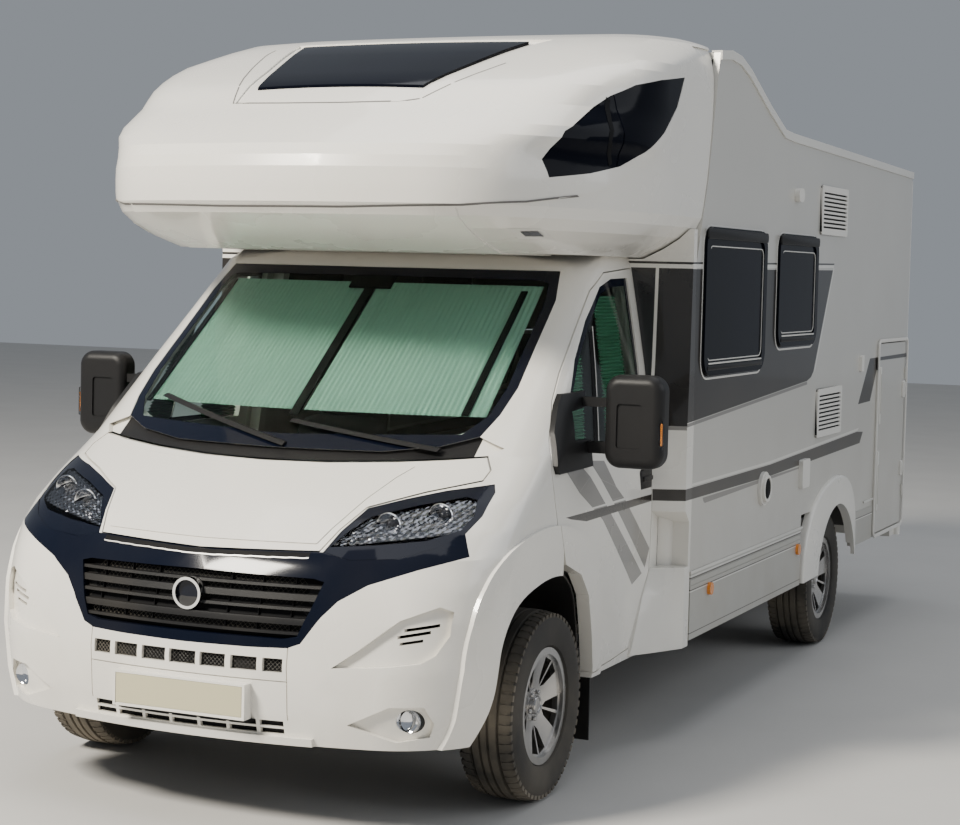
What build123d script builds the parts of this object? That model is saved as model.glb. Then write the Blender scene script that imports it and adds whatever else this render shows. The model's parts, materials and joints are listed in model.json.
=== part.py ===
from build123d import *
import os
from math import asin, cos, pi, radians, sin, sqrt

# Motorhome with an over-cab sleeping pod. Millimetres, +Z up, nose toward -Y, left side at +X.
# Every shape is drawn with the front axle at Y = 0 and shifted once, when it is written.

# Driving dimensions
FRONT_OVERHANG = 974.0           # front axle to the plate holder, the foremost point
WHEELBASE = 3800.0
REAR_OVERHANG = 1846.0           # rear axle to the rear bumper's face
BODY_HALF_WIDTH = 1150.0         # living body
CAB_HALF_WIDTH = 1025.0          # widest part of the cab, over the front arches
TRACK_FRONT = 1810.0
TRACK_REAR = 1980.0
TYRE_DIAMETER = 716.0
TYRE_WIDTH = 225.0
RIM_DIAMETER = 440.0             # over the rim flanges
RIM_WIDTH = 190.0

# Settable sizes
PANEL = 30.0                     # living body sandwich panel
SHELL = 40.0                     # pressed cab skin with its inner frame
LID = 20.0                       # bonnet skin with its frame
MOULDING = 24.0                  # moulded pod, fairings and arches
GLASS = 5.0
GAP = 5.0                        # shut line round doors, lids and the bonnet
FIT = 0.3                        # clearance of a piece that sits in its opening
FLARE = 14.0                     # how far the front arch flares stand off the cab skin
STEER_AXIS = 835.0               # kingpin distance from the centre plane
SKIRT_TOP = 717.0
SKIRT_LOW = 420.0
BODY_LOW = 485.0                 # lower edge of the side wall behind the rear wheel
WALL_FRONT = 1262.0              # seam between the cab fairing and the side wall
REAR_MOULDING = 92.0             # depth of the moulded rear behind the side walls
REAR_BUMPER = 54.0               # how far the rear bumper stands behind the rear face
ROOF_REAR = 2640.0
ROOF_EDGE = 8.0                  # how far the roof edge trims stand above and outside the body
HOUSE_FLOOR_TOP = 745.0
HOUSE_FLOOR = 60.0
HINGE_X = 1160.0                 # axis of the hinges on the living body
ARCH_RADIUS = 410.0              # rear wheel opening
POD_STEPS = 22                   # sections that draw the pod
CAB_BACK = 1290.0                # the cab form runs on behind its doors to here
POD_BACK = 1500.0

# Derived
OVERALL_LENGTH = FRONT_OVERHANG + WHEELBASE + REAR_OVERHANG
FRONT_AXLE_Y = -OVERALL_LENGTH / 2 + FRONT_OVERHANG
REAR_END = WHEELBASE + REAR_OVERHANG
REAR_FACE = REAR_END - REAR_BUMPER
WALL_REAR = REAR_FACE - REAR_MOULDING
TYRE_RADIUS = TYRE_DIAMETER / 2
FRONT_WHEEL_X = TRACK_FRONT / 2
REAR_WHEEL_X = TRACK_REAR / 2
RAIL_TOP = HOUSE_FLOOR_TOP - HOUSE_FLOOR - FIT
FACE_X = FRONT_WHEEL_X - 7.3     # inner face of a front wheel's hub

# Cab sections: height, y of the nose, half width, radius of the nose, radius of the corners.
CAB_SECTIONS = [
    (250, -893, 985, 2600, 420),
    (430, -938, 1005, 2600, 420),
    (600, -950, 1016, 2600, 405),
    (760, -930, 1023, 2600, 390),
    (880, -890, CAB_HALF_WIDTH, 2600, 380),
    (975, -842, CAB_HALF_WIDTH, 2600, 380),
    (1060, -750, 1024, 2580, 372),
    (1150, -610, 1018, 2550, 355),
    (1230, -465, 1011, 2520, 340),
    (1300, -345, 1003, 2500, 325),
    (1420, -190, 986, 2500, 305),
    (1600, 40, 957, 2500, 275),
    (1800, 297, 920, 2500, 240),
    (2010, 560, 880, 2500, 205),
    (2085, 720, 845, 2500, 195),
]
# Pod sections: height, y of the nose, nose radius, degrees of the nose arc,
# corner radius, degrees where the corner arc ends, half width.
POD_SECTIONS = [
    (2050, 60, 2400, 14, 420, 60, 930),
    (2100, -150, 2400, 14, 460, 60, 1030),
    (2150, -290, 2400, 14, 480, 60, 1100),
    (2200, -372, 2400, 14, 480, 60, 1142),
    (2245, -392, 2400, 14, 480, 60, 1150),
    (2330, -395, 2400, 14, 480, 60, 1150),
    (2413, -375, 2400, 14, 480, 60, 1150),
    (2520, -205, 3200, 12.5, 430, 60, 1150),
    (2625, 0, 3600, 12, 360, 59, 1149),
    (2705, 145, 4200, 11, 320, 58, 1146),
    (2820, 450, 5000, 10, 300, 58, 1138),
    (2905, 700, 5600, 8.2, 300, 58, 1122),
    (2975, 960, 6000, 7.3, 300, 58, 1090),
    (3015, 1230, 6500, 6.2, 260, 60, 1020),
]

# Outlines seen from the front: x, z. The right half; the left half is its mirror image.
WINDSCREEN_TOP = 1990.0
WINDSCREEN_HALF = [(0, 1300), (439, 1304), (647, 1329), (770, 1367), (801, 1444), (816, 1541), (805, 1699),
                   (795, 1873), (760, WINDSCREEN_TOP), (0, WINDSCREEN_TOP)]
BONNET_HALF = [(0, 975), (453, 988), (489, 1059), (534, 1129), (703, 1183), (863, 1222), (868, 1258),
               (830, 1303), (688, 1290), (520, 1278), (265, 1266), (0, 1262)]
BONNET_PANEL_HALF = [(0, 1010), (430, 1015), (470, 1085), (512, 1160), (560, 1225), (600, 1262), (300, 1245),
                     (0, 1240)]
COWL_HALF = [(0, 1262), (265, 1266), (520, 1278), (688, 1290), (830, 1303), (868, 1330), (770, 1367),
             (647, 1329), (439, 1304), (0, 1300)]
LAMP = [(466, 989), (493, 1054), (537, 1129), (647, 1162), (767, 1192), (903, 1214), (920, 1187),
        (924, 1114), (905, 1060), (836, 1015), (729, 979), (567, 968)]
SURROUND_HALF = [(0, 656), (265, 659), (400, 664), (446, 682), (475, 725), (511, 777), (560, 832), (653, 890),
                 (808, 946), (941, 987), (905, 1060), (836, 1015), (729, 979), (567, 968), (466, 989), (0, 975)]
GRILLE_HALF = [(0, 693), (380, 694), (432, 706), (470, 800), (500, 893), (460, 902), (0, 907)]
BUMPER_LOW = 322.0
BUMPER_HALF = [(0, BUMPER_LOW), (1100, BUMPER_LOW), (1100, 793), (1025, 793), (1001, 906), (971, 941),
               (941, 987), (808, 946), (653, 890), (560, 832), (511, 777), (475, 725), (446, 682), (400, 664),
               (265, 659), (0, 656)]
SCOOP = [(560, 606), (650, 672), (779, 778), (892, 824), (930, 806), (926, 725), (891, 658), (851, 632),
         (729, 616)]
FOG_RECESS = [(612, 408), (756, 479), (859, 479), (884, 417), (867, 369), (770, 352)]
FOG_LAMP = (809, 425, 42)        # x, z, radius
# Slots of the scoop: lower inner corner, lower outer corner, height.
SCOOP_SLOTS = [((788, 737), (890, 754), 11), ((768, 713), (866, 731), 11), ((776, 691), (846, 703), 10)]
# Openings of the bumper's middle: number to each side of the central one, centre, half width.
UPPER_SLOT = (578, 626)          # low and high edge
UPPER_SLOTS = [(0, 54), (121, 50), (242, 50), (350, 37)]
LOWER_SLOTS = [(0, 52), (116, 52), (232, 52), (342, 44)]
LOWER_ROWS = [(358, 377), (385, 405)]
SEAM_X = 403.0                   # seams beside the bumper's middle
PLATE_HOLDER = (270, 407, 532)   # half width, low and high edge
# Slats of the grille: height, half thickness.
SLATS = [(872, 5), (836, 11), (797, 5), (754, 11), (714, 5)]
EMBLEM = (824, 56)               # height and radius of the bare boss in the grille

# Outlines seen from the side: y, z.
DOOR = [(462, 400), (410, 560), (345, 728), (250, 822), (84, 880), (23, 1037), (0, 1140), (-14, 1249),
        (36, 1355), (160, 1498), (274, 1600), (472, 1758), (673, 1915), (820, 1990), (1160, 2012),
        (1150, 1600), (1108, 1100), (1098, 728), (1022, 630), (914, 428), (700, 410)]
DOOR_WINDOW = [(190, 1290), (239, 1480), (384, 1643), (561, 1796), (754, 1930), (890, 1962), (1098, 1968),
               (1080, 1600), (1045, 1290)]
MIRROR_FOOT = [(5, 1262), (60, 1385), (150, 1480), (200, 1520), (372, 1528), (372, 1468), (215, 1455),
               (205, 1345), (372, 1340), (372, 1235), (20, 1230)]
ARCH_OPENING = [(-606, 318), (-560, 400), (-518, 500), (-494, 656), (-455, 725), (-392, 778), (-227, 832),
                (-60, 852), (84, 842), (220, 797), (308, 712), (368, 560), (404, 460), (424, 385), (436, 318)]
FLARE_OUTLINE = [(-700, 318), (-684, 404), (-679, 550), (-657, 720), (-590, 865), (-475, 968), (-266, 1030),
                 (-100, 1043), (50, 1037), (227, 996), (396, 901), (479, 784), (522, 636), (545, 520),
                 (560, 400), (566, 318)]
POD_WINDOW = [(34, 2337), (241, 2363), (425, 2400), (586, 2464), (767, 2555), (922, 2668), (1032, 2800),
              (743, 2762), (558, 2726), (400, 2670), (274, 2606), (97, 2514), (7, 2404)]
POD_WINDOW_POST = [(398, 2300), (412, 2300), (441, 2750), (427, 2750)]
# The pod's side below this crease lies a step deeper.
POD_CREASE = [(-900, 2216), (-249, 2212), (-3, 2246), (269, 2292), (569, 2404), (830, 2549), (1021, 2707),
              (1228, 2871), (1300, 2960), (1700, 2960), (1700, 2000), (-900, 2000)]
POD_SEAM = [(1232, 2045), (1360, 2394), (1482, 2952)]
# Roof line of the living body: distance behind the front axle, height.
ROOF_LINE = [(1482, 2952), (1640, 2968), (1780, 2958), (1930, 2918), (2277, 2782), (2553, 2688),
             (2700, 2680), (WALL_REAR, ROOF_REAR)]
# Rear arch moulding, behind the rear axle.
ARCH_OUTLINE = [(-700, 426), (-672, 590), (-560, 745), (-370, 858), (-160, 910), (8, 922), (160, 905),
                (300, 842), (392, 725), (420, 590), (424, 448)]

# Outlines seen from above: x, y.
SKYLIGHT = [(-369, 142), (369, 142), (528, 818), (-528, 818)]
SKYLIGHT_BED = [(-400, 20), (400, 20), (470, 385), (600, 900), (-600, 900), (-470, 385)]

# Places on the living body: y0, y1, z0, z1 and corner radius where it is given.
LEFT_WINDOWS = [(1351, 2257, 1571, 2178, 70), (2515, 3213, 1668, 2178, 70)]
RIGHT_WINDOWS = [(1351, 2100, 1571, 2178, 70), (3300, 3998, 1668, 2178, 70)]
REAR_WINDOW = (-560, 560, 1650, 2150)
GARAGE_DOOR = (WALL_REAR - 788, WALL_REAR - 50, 498, 1618, 40)
ENTRANCE = (2330, 2930, 760, 2350, 60)
VENTS = [(3278, 3828, 2212, 2465), (3315, 3829, 1158, 1411)]
VENT_LOUVRES = 9
# Side fittings: y0, y1, z0, z1, corner radius, how far it stands off.
FITTINGS = [(2765, 2865, 2360, 2426, 32, 26), (2275, 2435, 900, 1060, 78, 16), (3020, 3160, 920, 1065, 14, 22),
            (4250, 4306, 1470, 1560, 10, 18)]
MARKERS = [(1538, 610), (3020, 610)]

# Places of smaller things that the cab and the fairings share.
STRUT_X = 715.0
SEAT_X = 430.0
DOOR_HINGE = (1036.0, 45.0)        # in the arch flare's thickness, so the edge turns clear
MIRROR_HEAD = (1092, 1330, 296, 392, 1238, 1598)
DOOR_HANDLE = [(955, 1172), (1075, 1172), (1075, 1088), (975, 1088)]
DOOR_GRIP = [(975, 1150), (1060, 1150), (1060, 1120), (975, 1120)]
WIPERS = [[(-655, 1452), (-640, 1462), (52, 1322), (48, 1309)], [(20, 1392), (26, 1403), (655, 1326), (650, 1313)]]
# Plan of the fairing by height: door edge y, outer x there, corner y, seam y, inner x.
FAIRING_UPPER = [
    (985, 1109, 1024, 1178, WALL_FRONT - FIT, 988),
    (1110, 1112, 1020, 1176, WALL_FRONT - FIT, 985),
    (1340, 1130, 998, 1172, WALL_FRONT - FIT, 962),
    (1600, 1153, 957, 1182, 1251.0, 921),
    (2045, 1170, 866, 1190, 1233.0, 830),
    (2180, 1170, 866, 1190, 1233.0, 830),
]
FAIRING_CEILING = [
    (935, 1232, 1024, 1236, WALL_FRONT - FIT, 988),
    (986, 1112, 1024, 1180, WALL_FRONT - FIT, 988),
]
FAIRING_LOWER = [
    (398, 912, 1012, 1186, WALL_FRONT - FIT, 985),
    (428, 924, 1016, 1196, WALL_FRONT - FIT, 985),
    (630, 1032, 1020, 1196, WALL_FRONT - FIT, 985),
    (SKIRT_TOP + 27, 1104, 1024, 1192, WALL_FRONT - FIT, 985),
]


def mirror_x(shape):
    return mirror(shape, about=Plane.YZ)


def pair(shape):
    """A shape and its mirror image on the other side of the vehicle."""
    return [shape, mirror_x(shape)]


def both_halves(points):
    """A full outline from the half on the +X side."""
    return points + [(-x, z) for x, z in reversed(points) if x > 0]


def box(x0, x1, y0, y1, z0, z1):
    return Pos((x0 + x1) / 2, (y0 + y1) / 2, (z0 + z1) / 2) * Box(x1 - x0, y1 - y0, z1 - z0)


def outline(points, inset=0.0, radius=0.0):
    """A closed outline through the points, drawn in or rounded where asked."""
    following = points[1:] + points[:1]
    if sum(a[0] * b[1] - b[0] * a[1] for a, b in zip(points, following)) < 0:
        points = list(reversed(points))
    face = make_face(Polyline(*points, close=True))
    if inset:
        face = offset(face, amount=-inset, kind=Kind.INTERSECTION)
    if radius:
        face = fillet(face.vertices(), radius)
    return face


def front_prism(points, y0, y1, inset=0.0, radius=0.0):
    """Points (x, z) seen from the front, drawn out from y0 to y1."""
    face = outline(points, inset, radius)
    return Plane(origin=(0, y0, 0), x_dir=(1, 0, 0), z_dir=(0, -1, 0)) * extrude(face, amount=-(y1 - y0))


def side_plane(x):
    return Plane(origin=(x, 0, 0), x_dir=(0, 1, 0), z_dir=(1, 0, 0))


def side_prism(points, x0, x1, inset=0.0, radius=0.0):
    """Points (y, z) seen from the left side, drawn out from x0 to x1."""
    return side_plane(x0) * extrude(outline(points, inset, radius), amount=x1 - x0)


def side_arch(points, x0, x1, shift=0.0, grow=0.0, middle=(-60.0, 420.0)):
    """A smooth arch through the points (y, z), closed below; grow moves it away from its middle."""
    placed = []
    for y, z in points:
        dy, dz = y - middle[0], max(z - middle[1], 0.0)
        reach = sqrt(dy * dy + dz * dz)
        placed.append((y + shift + grow * dy / reach, z + grow * dz / reach))
    placed.reverse()
    face = make_face([Spline(*placed), Line(placed[-1], placed[0])])
    return side_plane(x0) * extrude(face, amount=x1 - x0)


def top_prism(points, z0, z1, inset=0.0):
    """Points (x, y) seen from above, drawn out from z0 to z1."""
    return Pos(0, 0, z0) * extrude(outline(points, inset), amount=z1 - z0)


def wheel_cylinder(x0, x1, y, z, radius):
    """A cylinder lying across the vehicle from x0 to x1."""
    return Pos((x0 + x1) / 2, y, z) * Rot(0, 90, 0) * Cylinder(radius, x1 - x0)


def cab_section(height, nose, half, nose_r, corner_r, inset=0.0):
    """A horizontal section of the cab: a wide nose arc, two corner arcs and straight flanks."""
    nose, half = nose + inset, half - inset
    nose_r, corner_r = nose_r - inset, corner_r - inset
    cx = half - corner_r
    cy = nose + nose_r - sqrt((nose_r - corner_r) ** 2 - cx ** 2)
    turn = asin(cx / (nose_r - corner_r))
    ax, ay = nose_r * sin(turn), nose + nose_r * (1 - cos(turn))
    middle = (turn + pi / 2) / 2
    mx, my = cx + corner_r * sin(middle), cy - corner_r * cos(middle)
    edges = [
        ThreePointArc((-ax, ay), (0, nose), (ax, ay)),
        ThreePointArc((ax, ay), (mx, my), (half, cy)),
        Line((half, cy), (half, CAB_BACK)),
        Line((half, CAB_BACK), (-half, CAB_BACK)),
        Line((-half, CAB_BACK), (-half, cy)),
        ThreePointArc((-half, cy), (-mx, my), (-ax, ay)),
    ]
    return Pos(0, 0, height) * make_face(Wire(edges))


def keep(form):
    """Remembers each form that is asked for again with the same sizes."""
    made = {}

    def lookup(*sizes, **named):
        key = (sizes, tuple(sorted(named.items())))
        if key not in made:
            made[key] = form(*sizes, **named)
        return made[key]
    return lookup


@keep
def cab_volume(inset=0.0, low=0.0, high=0.0):
    """The cab's outer form, or the same form set in; low and high move its ends."""
    rows = [list(row) for row in CAB_SECTIONS]
    rows[0][0] += low
    rows[-1][0] += high
    return loft([cab_section(*row, inset=inset) for row in rows], ruled=True)


def cab_layer(outside, inside):
    """The layer between two depths below the cab's outer form."""
    return cab_volume(outside) - cab_volume(inside, low=-20, high=-SHELL)


def pod_section(height, nose, nose_r, nose_deg, corner_r, corner_deg, half, inset=0.0):
    """A horizontal section of the pod: nose arc, corner arcs, then long arcs into the flanks."""
    nose, half = nose + inset, half - inset
    nose_r, corner_r = nose_r - inset, corner_r - inset
    a, b = radians(nose_deg), radians(corner_deg)
    x1, y1 = nose_r * sin(a), nose + nose_r * (1 - cos(a))
    x2, y2 = x1 + corner_r * (sin(b) - sin(a)), y1 + corner_r * (cos(a) - cos(b))
    side_r = (half - x2) / (1 - sin(b))
    y3 = y2 + side_r * cos(b)
    m, n = (a + b) / 2, (b + pi / 2) / 2
    xm, ym = x1 + corner_r * (sin(m) - sin(a)), y1 + corner_r * (cos(a) - cos(m))
    xn, yn = x2 + side_r * (sin(n) - sin(b)), y2 + side_r * (cos(b) - cos(n))
    back = max(POD_BACK, y3 + 20) + 60
    edges = [
        ThreePointArc((-x1, y1), (0, nose), (x1, y1)),
        ThreePointArc((x1, y1), (xm, ym), (x2, y2)),
        ThreePointArc((x2, y2), (xn, yn), (half, y3)),
        Line((half, y3), (half, back)),
        Line((half, back), (-half, back)),
        Line((-half, back), (-half, y3)),
        ThreePointArc((-half, y3), (-xn, yn), (-x2, y2)),
        ThreePointArc((-x2, y2), (-xm, ym), (-x1, y1)),
    ]
    return Pos(0, 0, height) * make_face(Wire(edges))


def smooth_value(heights, values, height):
    """A curve through the table's values that never overshoots them."""
    steps = [b - a for a, b in zip(heights, heights[1:])]
    rates = [(b - a) / step for a, b, step in zip(values, values[1:], steps)]
    slopes = [rates[0]]
    for before, after in zip(rates, rates[1:]):
        slopes.append(0.0 if before * after <= 0 else 2 * before * after / (before + after))
    slopes.append(rates[-1])
    k = 0
    while k < len(steps) - 1 and height > heights[k + 1]:
        k += 1
    t = (height - heights[k]) / steps[k]
    start = (1 + 2 * t) * (1 - t) ** 2 * values[k] + t * (1 - t) ** 2 * steps[k] * slopes[k]
    return start + t * t * (3 - 2 * t) * values[k + 1] + t * t * (t - 1) * steps[k] * slopes[k + 1]


def pod_rows():
    """The pod's table drawn out into many close sections along smooth curves."""
    columns = list(zip(*POD_SECTIONS))
    low, high = columns[0][0], columns[0][-1]
    rows = []
    for k in range(POD_STEPS + 1):
        height = low + (high - low) * k / POD_STEPS
        rows.append([height] + [smooth_value(columns[0], column, height) for column in columns[1:]])
    return rows


@keep
def pod_volume(inset=0.0):
    """The pod's outer form, or the same form set in on every side."""
    rows = pod_rows()
    low, high = rows[0][0], rows[-1][0]
    middle, shrink = (low + high) / 2, 1 - 2 * inset / (high - low)
    for row in rows:
        row[0] = middle + (row[0] - middle) * shrink
    return loft([pod_section(*row, inset=inset) for row in rows], ruled=True)


def write(name, shape):
    """Move a shape into the part's frame and write it."""
    solids = []
    for piece in shape if isinstance(shape, list) else [shape]:
        solids += list(piece.solids())
    placed = [Pos(0, FRONT_AXLE_Y, 0) * solid for solid in solids]
    export_step(Compound(children=placed) if len(placed) > 1 else placed[0], f"parts/{name}.step")
    print(name, len(placed))


def drop_slivers(shape, smallest=2000.0):
    """The shape without crumbs that a cut leaves at its edge."""
    return [solid for solid in shape.solids() if solid.volume > smallest]


def front_arch(grow=0.0):
    """Both openings round the front wheels."""
    opening = side_arch(ARCH_OPENING, 556, 1200, grow=grow) + box(556, 1200, -606 - grow, 436 + grow, 150, 319)
    return opening + mirror_x(opening)


def arch_flares():
    """Raised bands round the front arches, proud of the cab's skin."""
    band = side_arch(FLARE_OUTLINE, 800, 1200)
    band = band + mirror_x(band)
    return (cab_volume(-FLARE) - cab_volume(1)) & band & box(-1200, 1200, -720, 620, BUMPER_LOW, 1100)


def door_prism(inset=0.0):
    """Both door outlines, drawn across the vehicle."""
    prism = side_prism(DOOR, 700, 1200, inset=inset)
    return prism + mirror_x(prism)


def bumper_details(bumper):
    """Cuts the scoops, lamp recesses, slots, seams and the plate holder of the bumper."""
    shallow = cab_volume(-FLARE - 6) - cab_volume(20)
    scoop = front_prism(SCOOP, -1000, -600) + front_prism(FOG_RECESS, -1000, -600)
    bumper = bumper - (shallow & (scoop + mirror_x(scoop)))
    x, z, radius = FOG_LAMP
    lamp_hole = Pos(x, -800, z) * Rot(90, 0, 0) * Cylinder(radius, 400)
    bumper = bumper - lamp_hole - mirror_x(lamp_hole)
    for low, high, tall in SCOOP_SLOTS:
        corners = [low, high, (high[0], high[1] + tall), (low[0], low[1] + tall)]
        slot = front_prism(corners, -1000, -600)
        bumper = bumper - slot - mirror_x(slot)
    for middle, half in UPPER_SLOTS:
        slot = box(middle - half, middle + half, -1100, -700, *UPPER_SLOT)
        bumper = bumper - slot - mirror_x(slot)
    for z0, z1 in LOWER_ROWS:
        for middle, half in LOWER_SLOTS:
            slot = box(middle - half, middle + half, -1100, -700, z0, z1)
            bumper = bumper - slot - mirror_x(slot)
    groove = cab_volume(-FLARE) - cab_volume(7)
    seam = box(SEAM_X - 2, SEAM_X + 2, -1100, -700, 410, 668)
    ledge = box(-SEAM_X + 2, SEAM_X - 2, -1100, -700, 545, 549)
    return bumper - (groove & (seam + mirror_x(seam) + ledge))


def build_cab():
    """Cab skin pieces, all cut from one outer form and one inner form."""
    outer = cab_volume()
    inner = cab_volume(SHELL, low=-20, high=-SHELL)
    skin = outer - inner
    flares = arch_flares()
    arches = front_arch()
    windscreen_cut = front_prism(both_halves(WINDSCREEN_HALF), -700, 700)
    bonnet_cut = front_prism(both_halves(BONNET_HALF), -1000, 40)
    cowl_cut = front_prism(both_halves(COWL_HALF), -1000, 40)
    surround_cut = front_prism(both_halves(SURROUND_HALF), -1000, -300)
    lamp_cut = front_prism(LAMP, -1000, 0)
    lamp_cut = lamp_cut + mirror_x(lamp_cut)
    bumper_cut = front_prism(both_halves(BUMPER_HALF), -1000, -300)
    door_cuts = door_prism()

    rest = (skin + flares) - windscreen_cut - bonnet_cut - cowl_cut - surround_cut - lamp_cut - bumper_cut
    rest = rest - door_cuts - arches
    wing_zone = box(-1200, 1200, -1000, 61, BUMPER_LOW, 1305)
    swing = Pos(DOOR_HINGE[0], DOOR_HINGE[1], 1050) * Cylinder(92, 700)
    wings = (rest & wing_zone) - ((swing + mirror_x(swing)) & cab_volume(10))
    write("front_wings", drop_slivers(wings))

    cabin = rest - wing_zone - box(-1200, 1200, 1190, 1400, 0, 2200)
    cabin = cabin & (box(-1200, 1200, -1000, 1300, 1305, 2200) + box(-1200, 1200, 460, 1300, 385, 1400))
    screen_ring = front_prism(both_halves(WINDSCREEN_HALF), -700, 700)
    screen_ring = screen_ring - front_prism(both_halves(WINDSCREEN_HALF), -700, 700, inset=30)
    screen_ring = screen_ring & (cab_volume(GLASS + 2.3) - inner)
    hoop = cab_layer(SHELL + GAP, SHELL + 55) & box(-1200, 1200, 1150, 1201.7, 560, 2200)
    floor = (box(-960, 960, 55, 1201.7, 560, 600) & cab_volume(SHELL + GAP)) + box(-800, 800, 55, 85, 560, 1180)
    floor = floor + box(-800, 800, 1200, 1236, 560, 600) + box(-800, 800, 1224, 1236, 560, HOUSE_FLOOR_TOP)
    housing = side_arch(ARCH_OPENING, 540, 1010, grow=26) + box(540, 1010, -620, 470, 150, 420)
    floor = floor - housing - mirror_x(housing)
    write("cab_shell", drop_slivers(cabin + screen_ring + hoop + floor))

    liner = side_arch(ARCH_OPENING, 556, 1010, grow=22) - side_arch(ARCH_OPENING, 566, 1010, grow=12)
    liner = liner & box(500, 1100, -640, 470, 446, 1100)
    liner = liner & cab_volume(SHELL + FIT, low=-20, high=-SHELL)
    liner = liner - Pos(STRUT_X, 0, 800) * Cylinder(30, 600)
    write("arch_liners", pair(liner))

    glass = cab_layer(2, 2 + GLASS)
    write("windscreen", glass & front_prism(both_halves(WINDSCREEN_HALF), -700, 700, inset=2))
    bonnet = cab_layer(0, LID) & front_prism(both_halves(BONNET_HALF), -1000, 40, inset=GAP)
    raised = (cab_volume(-5) - cab_volume(2)) & front_prism(both_halves(BONNET_PANEL_HALF), -1000, 40)
    write("bonnet", bonnet + raised)
    write("cowl", cab_layer(26, 44) & cowl_cut)
    opening = front_prism(both_halves(GRILLE_HALF), -1100, -300)
    write("grille_surround", (skin & surround_cut) - opening)
    lamp = cab_layer(4, 110) & front_prism(LAMP, -1000, 0, inset=0.4)
    x, z, radius = FOG_LAMP
    fog = Pos(x, -770, z) * Rot(90, 0, 0) * Cylinder(radius - FIT, 300)
    fog = fog & cab_layer(24, SHELL + 20)
    write("headlamps", pair(lamp) + pair(fog))

    bumper = (skin + flares) & bumper_cut
    bumper = bumper - arches
    lip = (cab_volume(-18) - cab_volume(2)) & box(-490, 490, -1100, -700, BUMPER_LOW, 350)
    half, low, high = PLATE_HOLDER
    holder = box(-half, half, -FRONT_OVERHANG, -925, low, high)
    holder = holder - box(-half + 10, half - 10, -FRONT_OVERHANG - 1, -FRONT_OVERHANG + 4, low + 7, high - 7)
    bumper = bumper_details(bumper + lip) + holder
    write("front_bumper", drop_slivers(bumper))

    mouth = front_prism(both_halves(GRILLE_HALF), -1100, -300, inset=FIT)
    bars = []
    slats = cab_layer(8, 33)
    for z, half in SLATS:
        bars.append(slats & box(-520, 520, -1000, -500, z - half, z + half) & mouth)
    boss_z, boss_r = EMBLEM
    boss = (Pos(0, -880, boss_z) * Rot(90, 0, 0) * Cylinder(boss_r, 300)) & cab_layer(3, 33)
    mesh = (cab_volume(33) - cab_volume(SHELL - 1, low=-20, high=-SHELL)) & mouth
    lower_mesh = (cab_volume(SHELL + FIT) - cab_volume(SHELL + 6, low=-20, high=-SHELL))
    lower_mesh = lower_mesh & (box(-400, 400, -1000, -700, 565, 640) + box(-400, 400, -1000, -700, 345, 420))
    grille = mesh + boss
    for bar in bars:
        grille = grille + bar
    write("grille_bars", [grille, lower_mesh])

    doors_open = side_prism(DOOR, 700, 1200, inset=GAP)
    door_skin = (skin + flares) - arches
    door = door_skin & doors_open
    recess = (cab_volume(-1) - cab_volume(14)) & side_prism(DOOR_HANDLE, 700, 1200, radius=20)
    door = door - side_prism(DOOR_WINDOW, 700, 1200) - recess
    grip = (cab_volume(1) - cab_volume(15)) & side_prism(DOOR_GRIP, 700, 1200)
    door = drop_slivers(door + grip)
    write("cab_door_left", door)
    write("cab_door_right", [mirror_x(piece) for piece in door])
    pane = cab_layer(8, 8 + GLASS) & side_prism(DOOR_WINDOW, 700, 1200, inset=FIT)
    write("door_glass_left", pane)
    write("door_glass_right", mirror_x(pane))
    build_mirrors()

    blades = []
    for points in WIPERS:
        blades.append((cab_volume(-16) - cab_volume(1.7)) & front_prism(points, -700, 100))
    write("wipers", blades)

    dash = box(-760, 760, 85.3, 420, 900, 1240) - box(-800, 800, 300, 420, 900, 1100)
    dash = dash + box(-740, 740, -180, 100, 1180.3, 1240)
    seats = []
    for x in (-SEAT_X, SEAT_X):
        cushion = box(x - 250, x + 250, 560, 1050, 780, 900)
        back = box(x - 250, x + 250, 1000, 1120, 900, 1480)
        base = box(x - 200, x + 200, 620, 1000, 600, 780)
        seats.append(cushion + back + base)
    write("dashboard", dash)
    write("cab_seats", seats)
    blind = cab_layer(SHELL + FIT, SHELL + 6)
    write("windscreen_blind", blind & front_prism(both_halves(WINDSCREEN_HALF), -700, 700, inset=14))


def build_mirrors():
    """Mirror heads on two arms that spring from a foot at the front of the door window."""
    x0, x1, y0, y1, z0, z1 = MIRROR_HEAD
    head = box(x0, x1, y0, y1, z0, z1)
    head = fillet(head.edges().filter_by(Axis.Y), 62)
    head = fillet(head.edges().group_by(Axis.Y)[0], 40)
    head = fillet(head.edges().group_by(Axis.Y)[-1], 14)
    recess = box(x0 + 55, x1 - 80, y0 - 1, y0 + 7, z0 + 78, z1 - 110)
    head = head - fillet(recess.edges().filter_by(Axis.Y), 14)
    arms = box(930, x0 + 120, y0 + 28, y0 + 66, z0 + 52, z0 + 98)
    arms = arms + box(890, x0 + 120, y0 + 28, y0 + 66, z1 - 128, z1 - 92)
    clear = cab_volume(-FIT)
    foot = (cab_volume(-20) - clear) & side_prism(MIRROR_FOOT, 800, 1200)
    mirror_left = (head + arms) - clear + foot
    mirror_left = drop_slivers(mirror_left)
    write("mirror_left", mirror_left)
    write("mirror_right", [mirror_x(piece) for piece in mirror_left])


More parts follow.
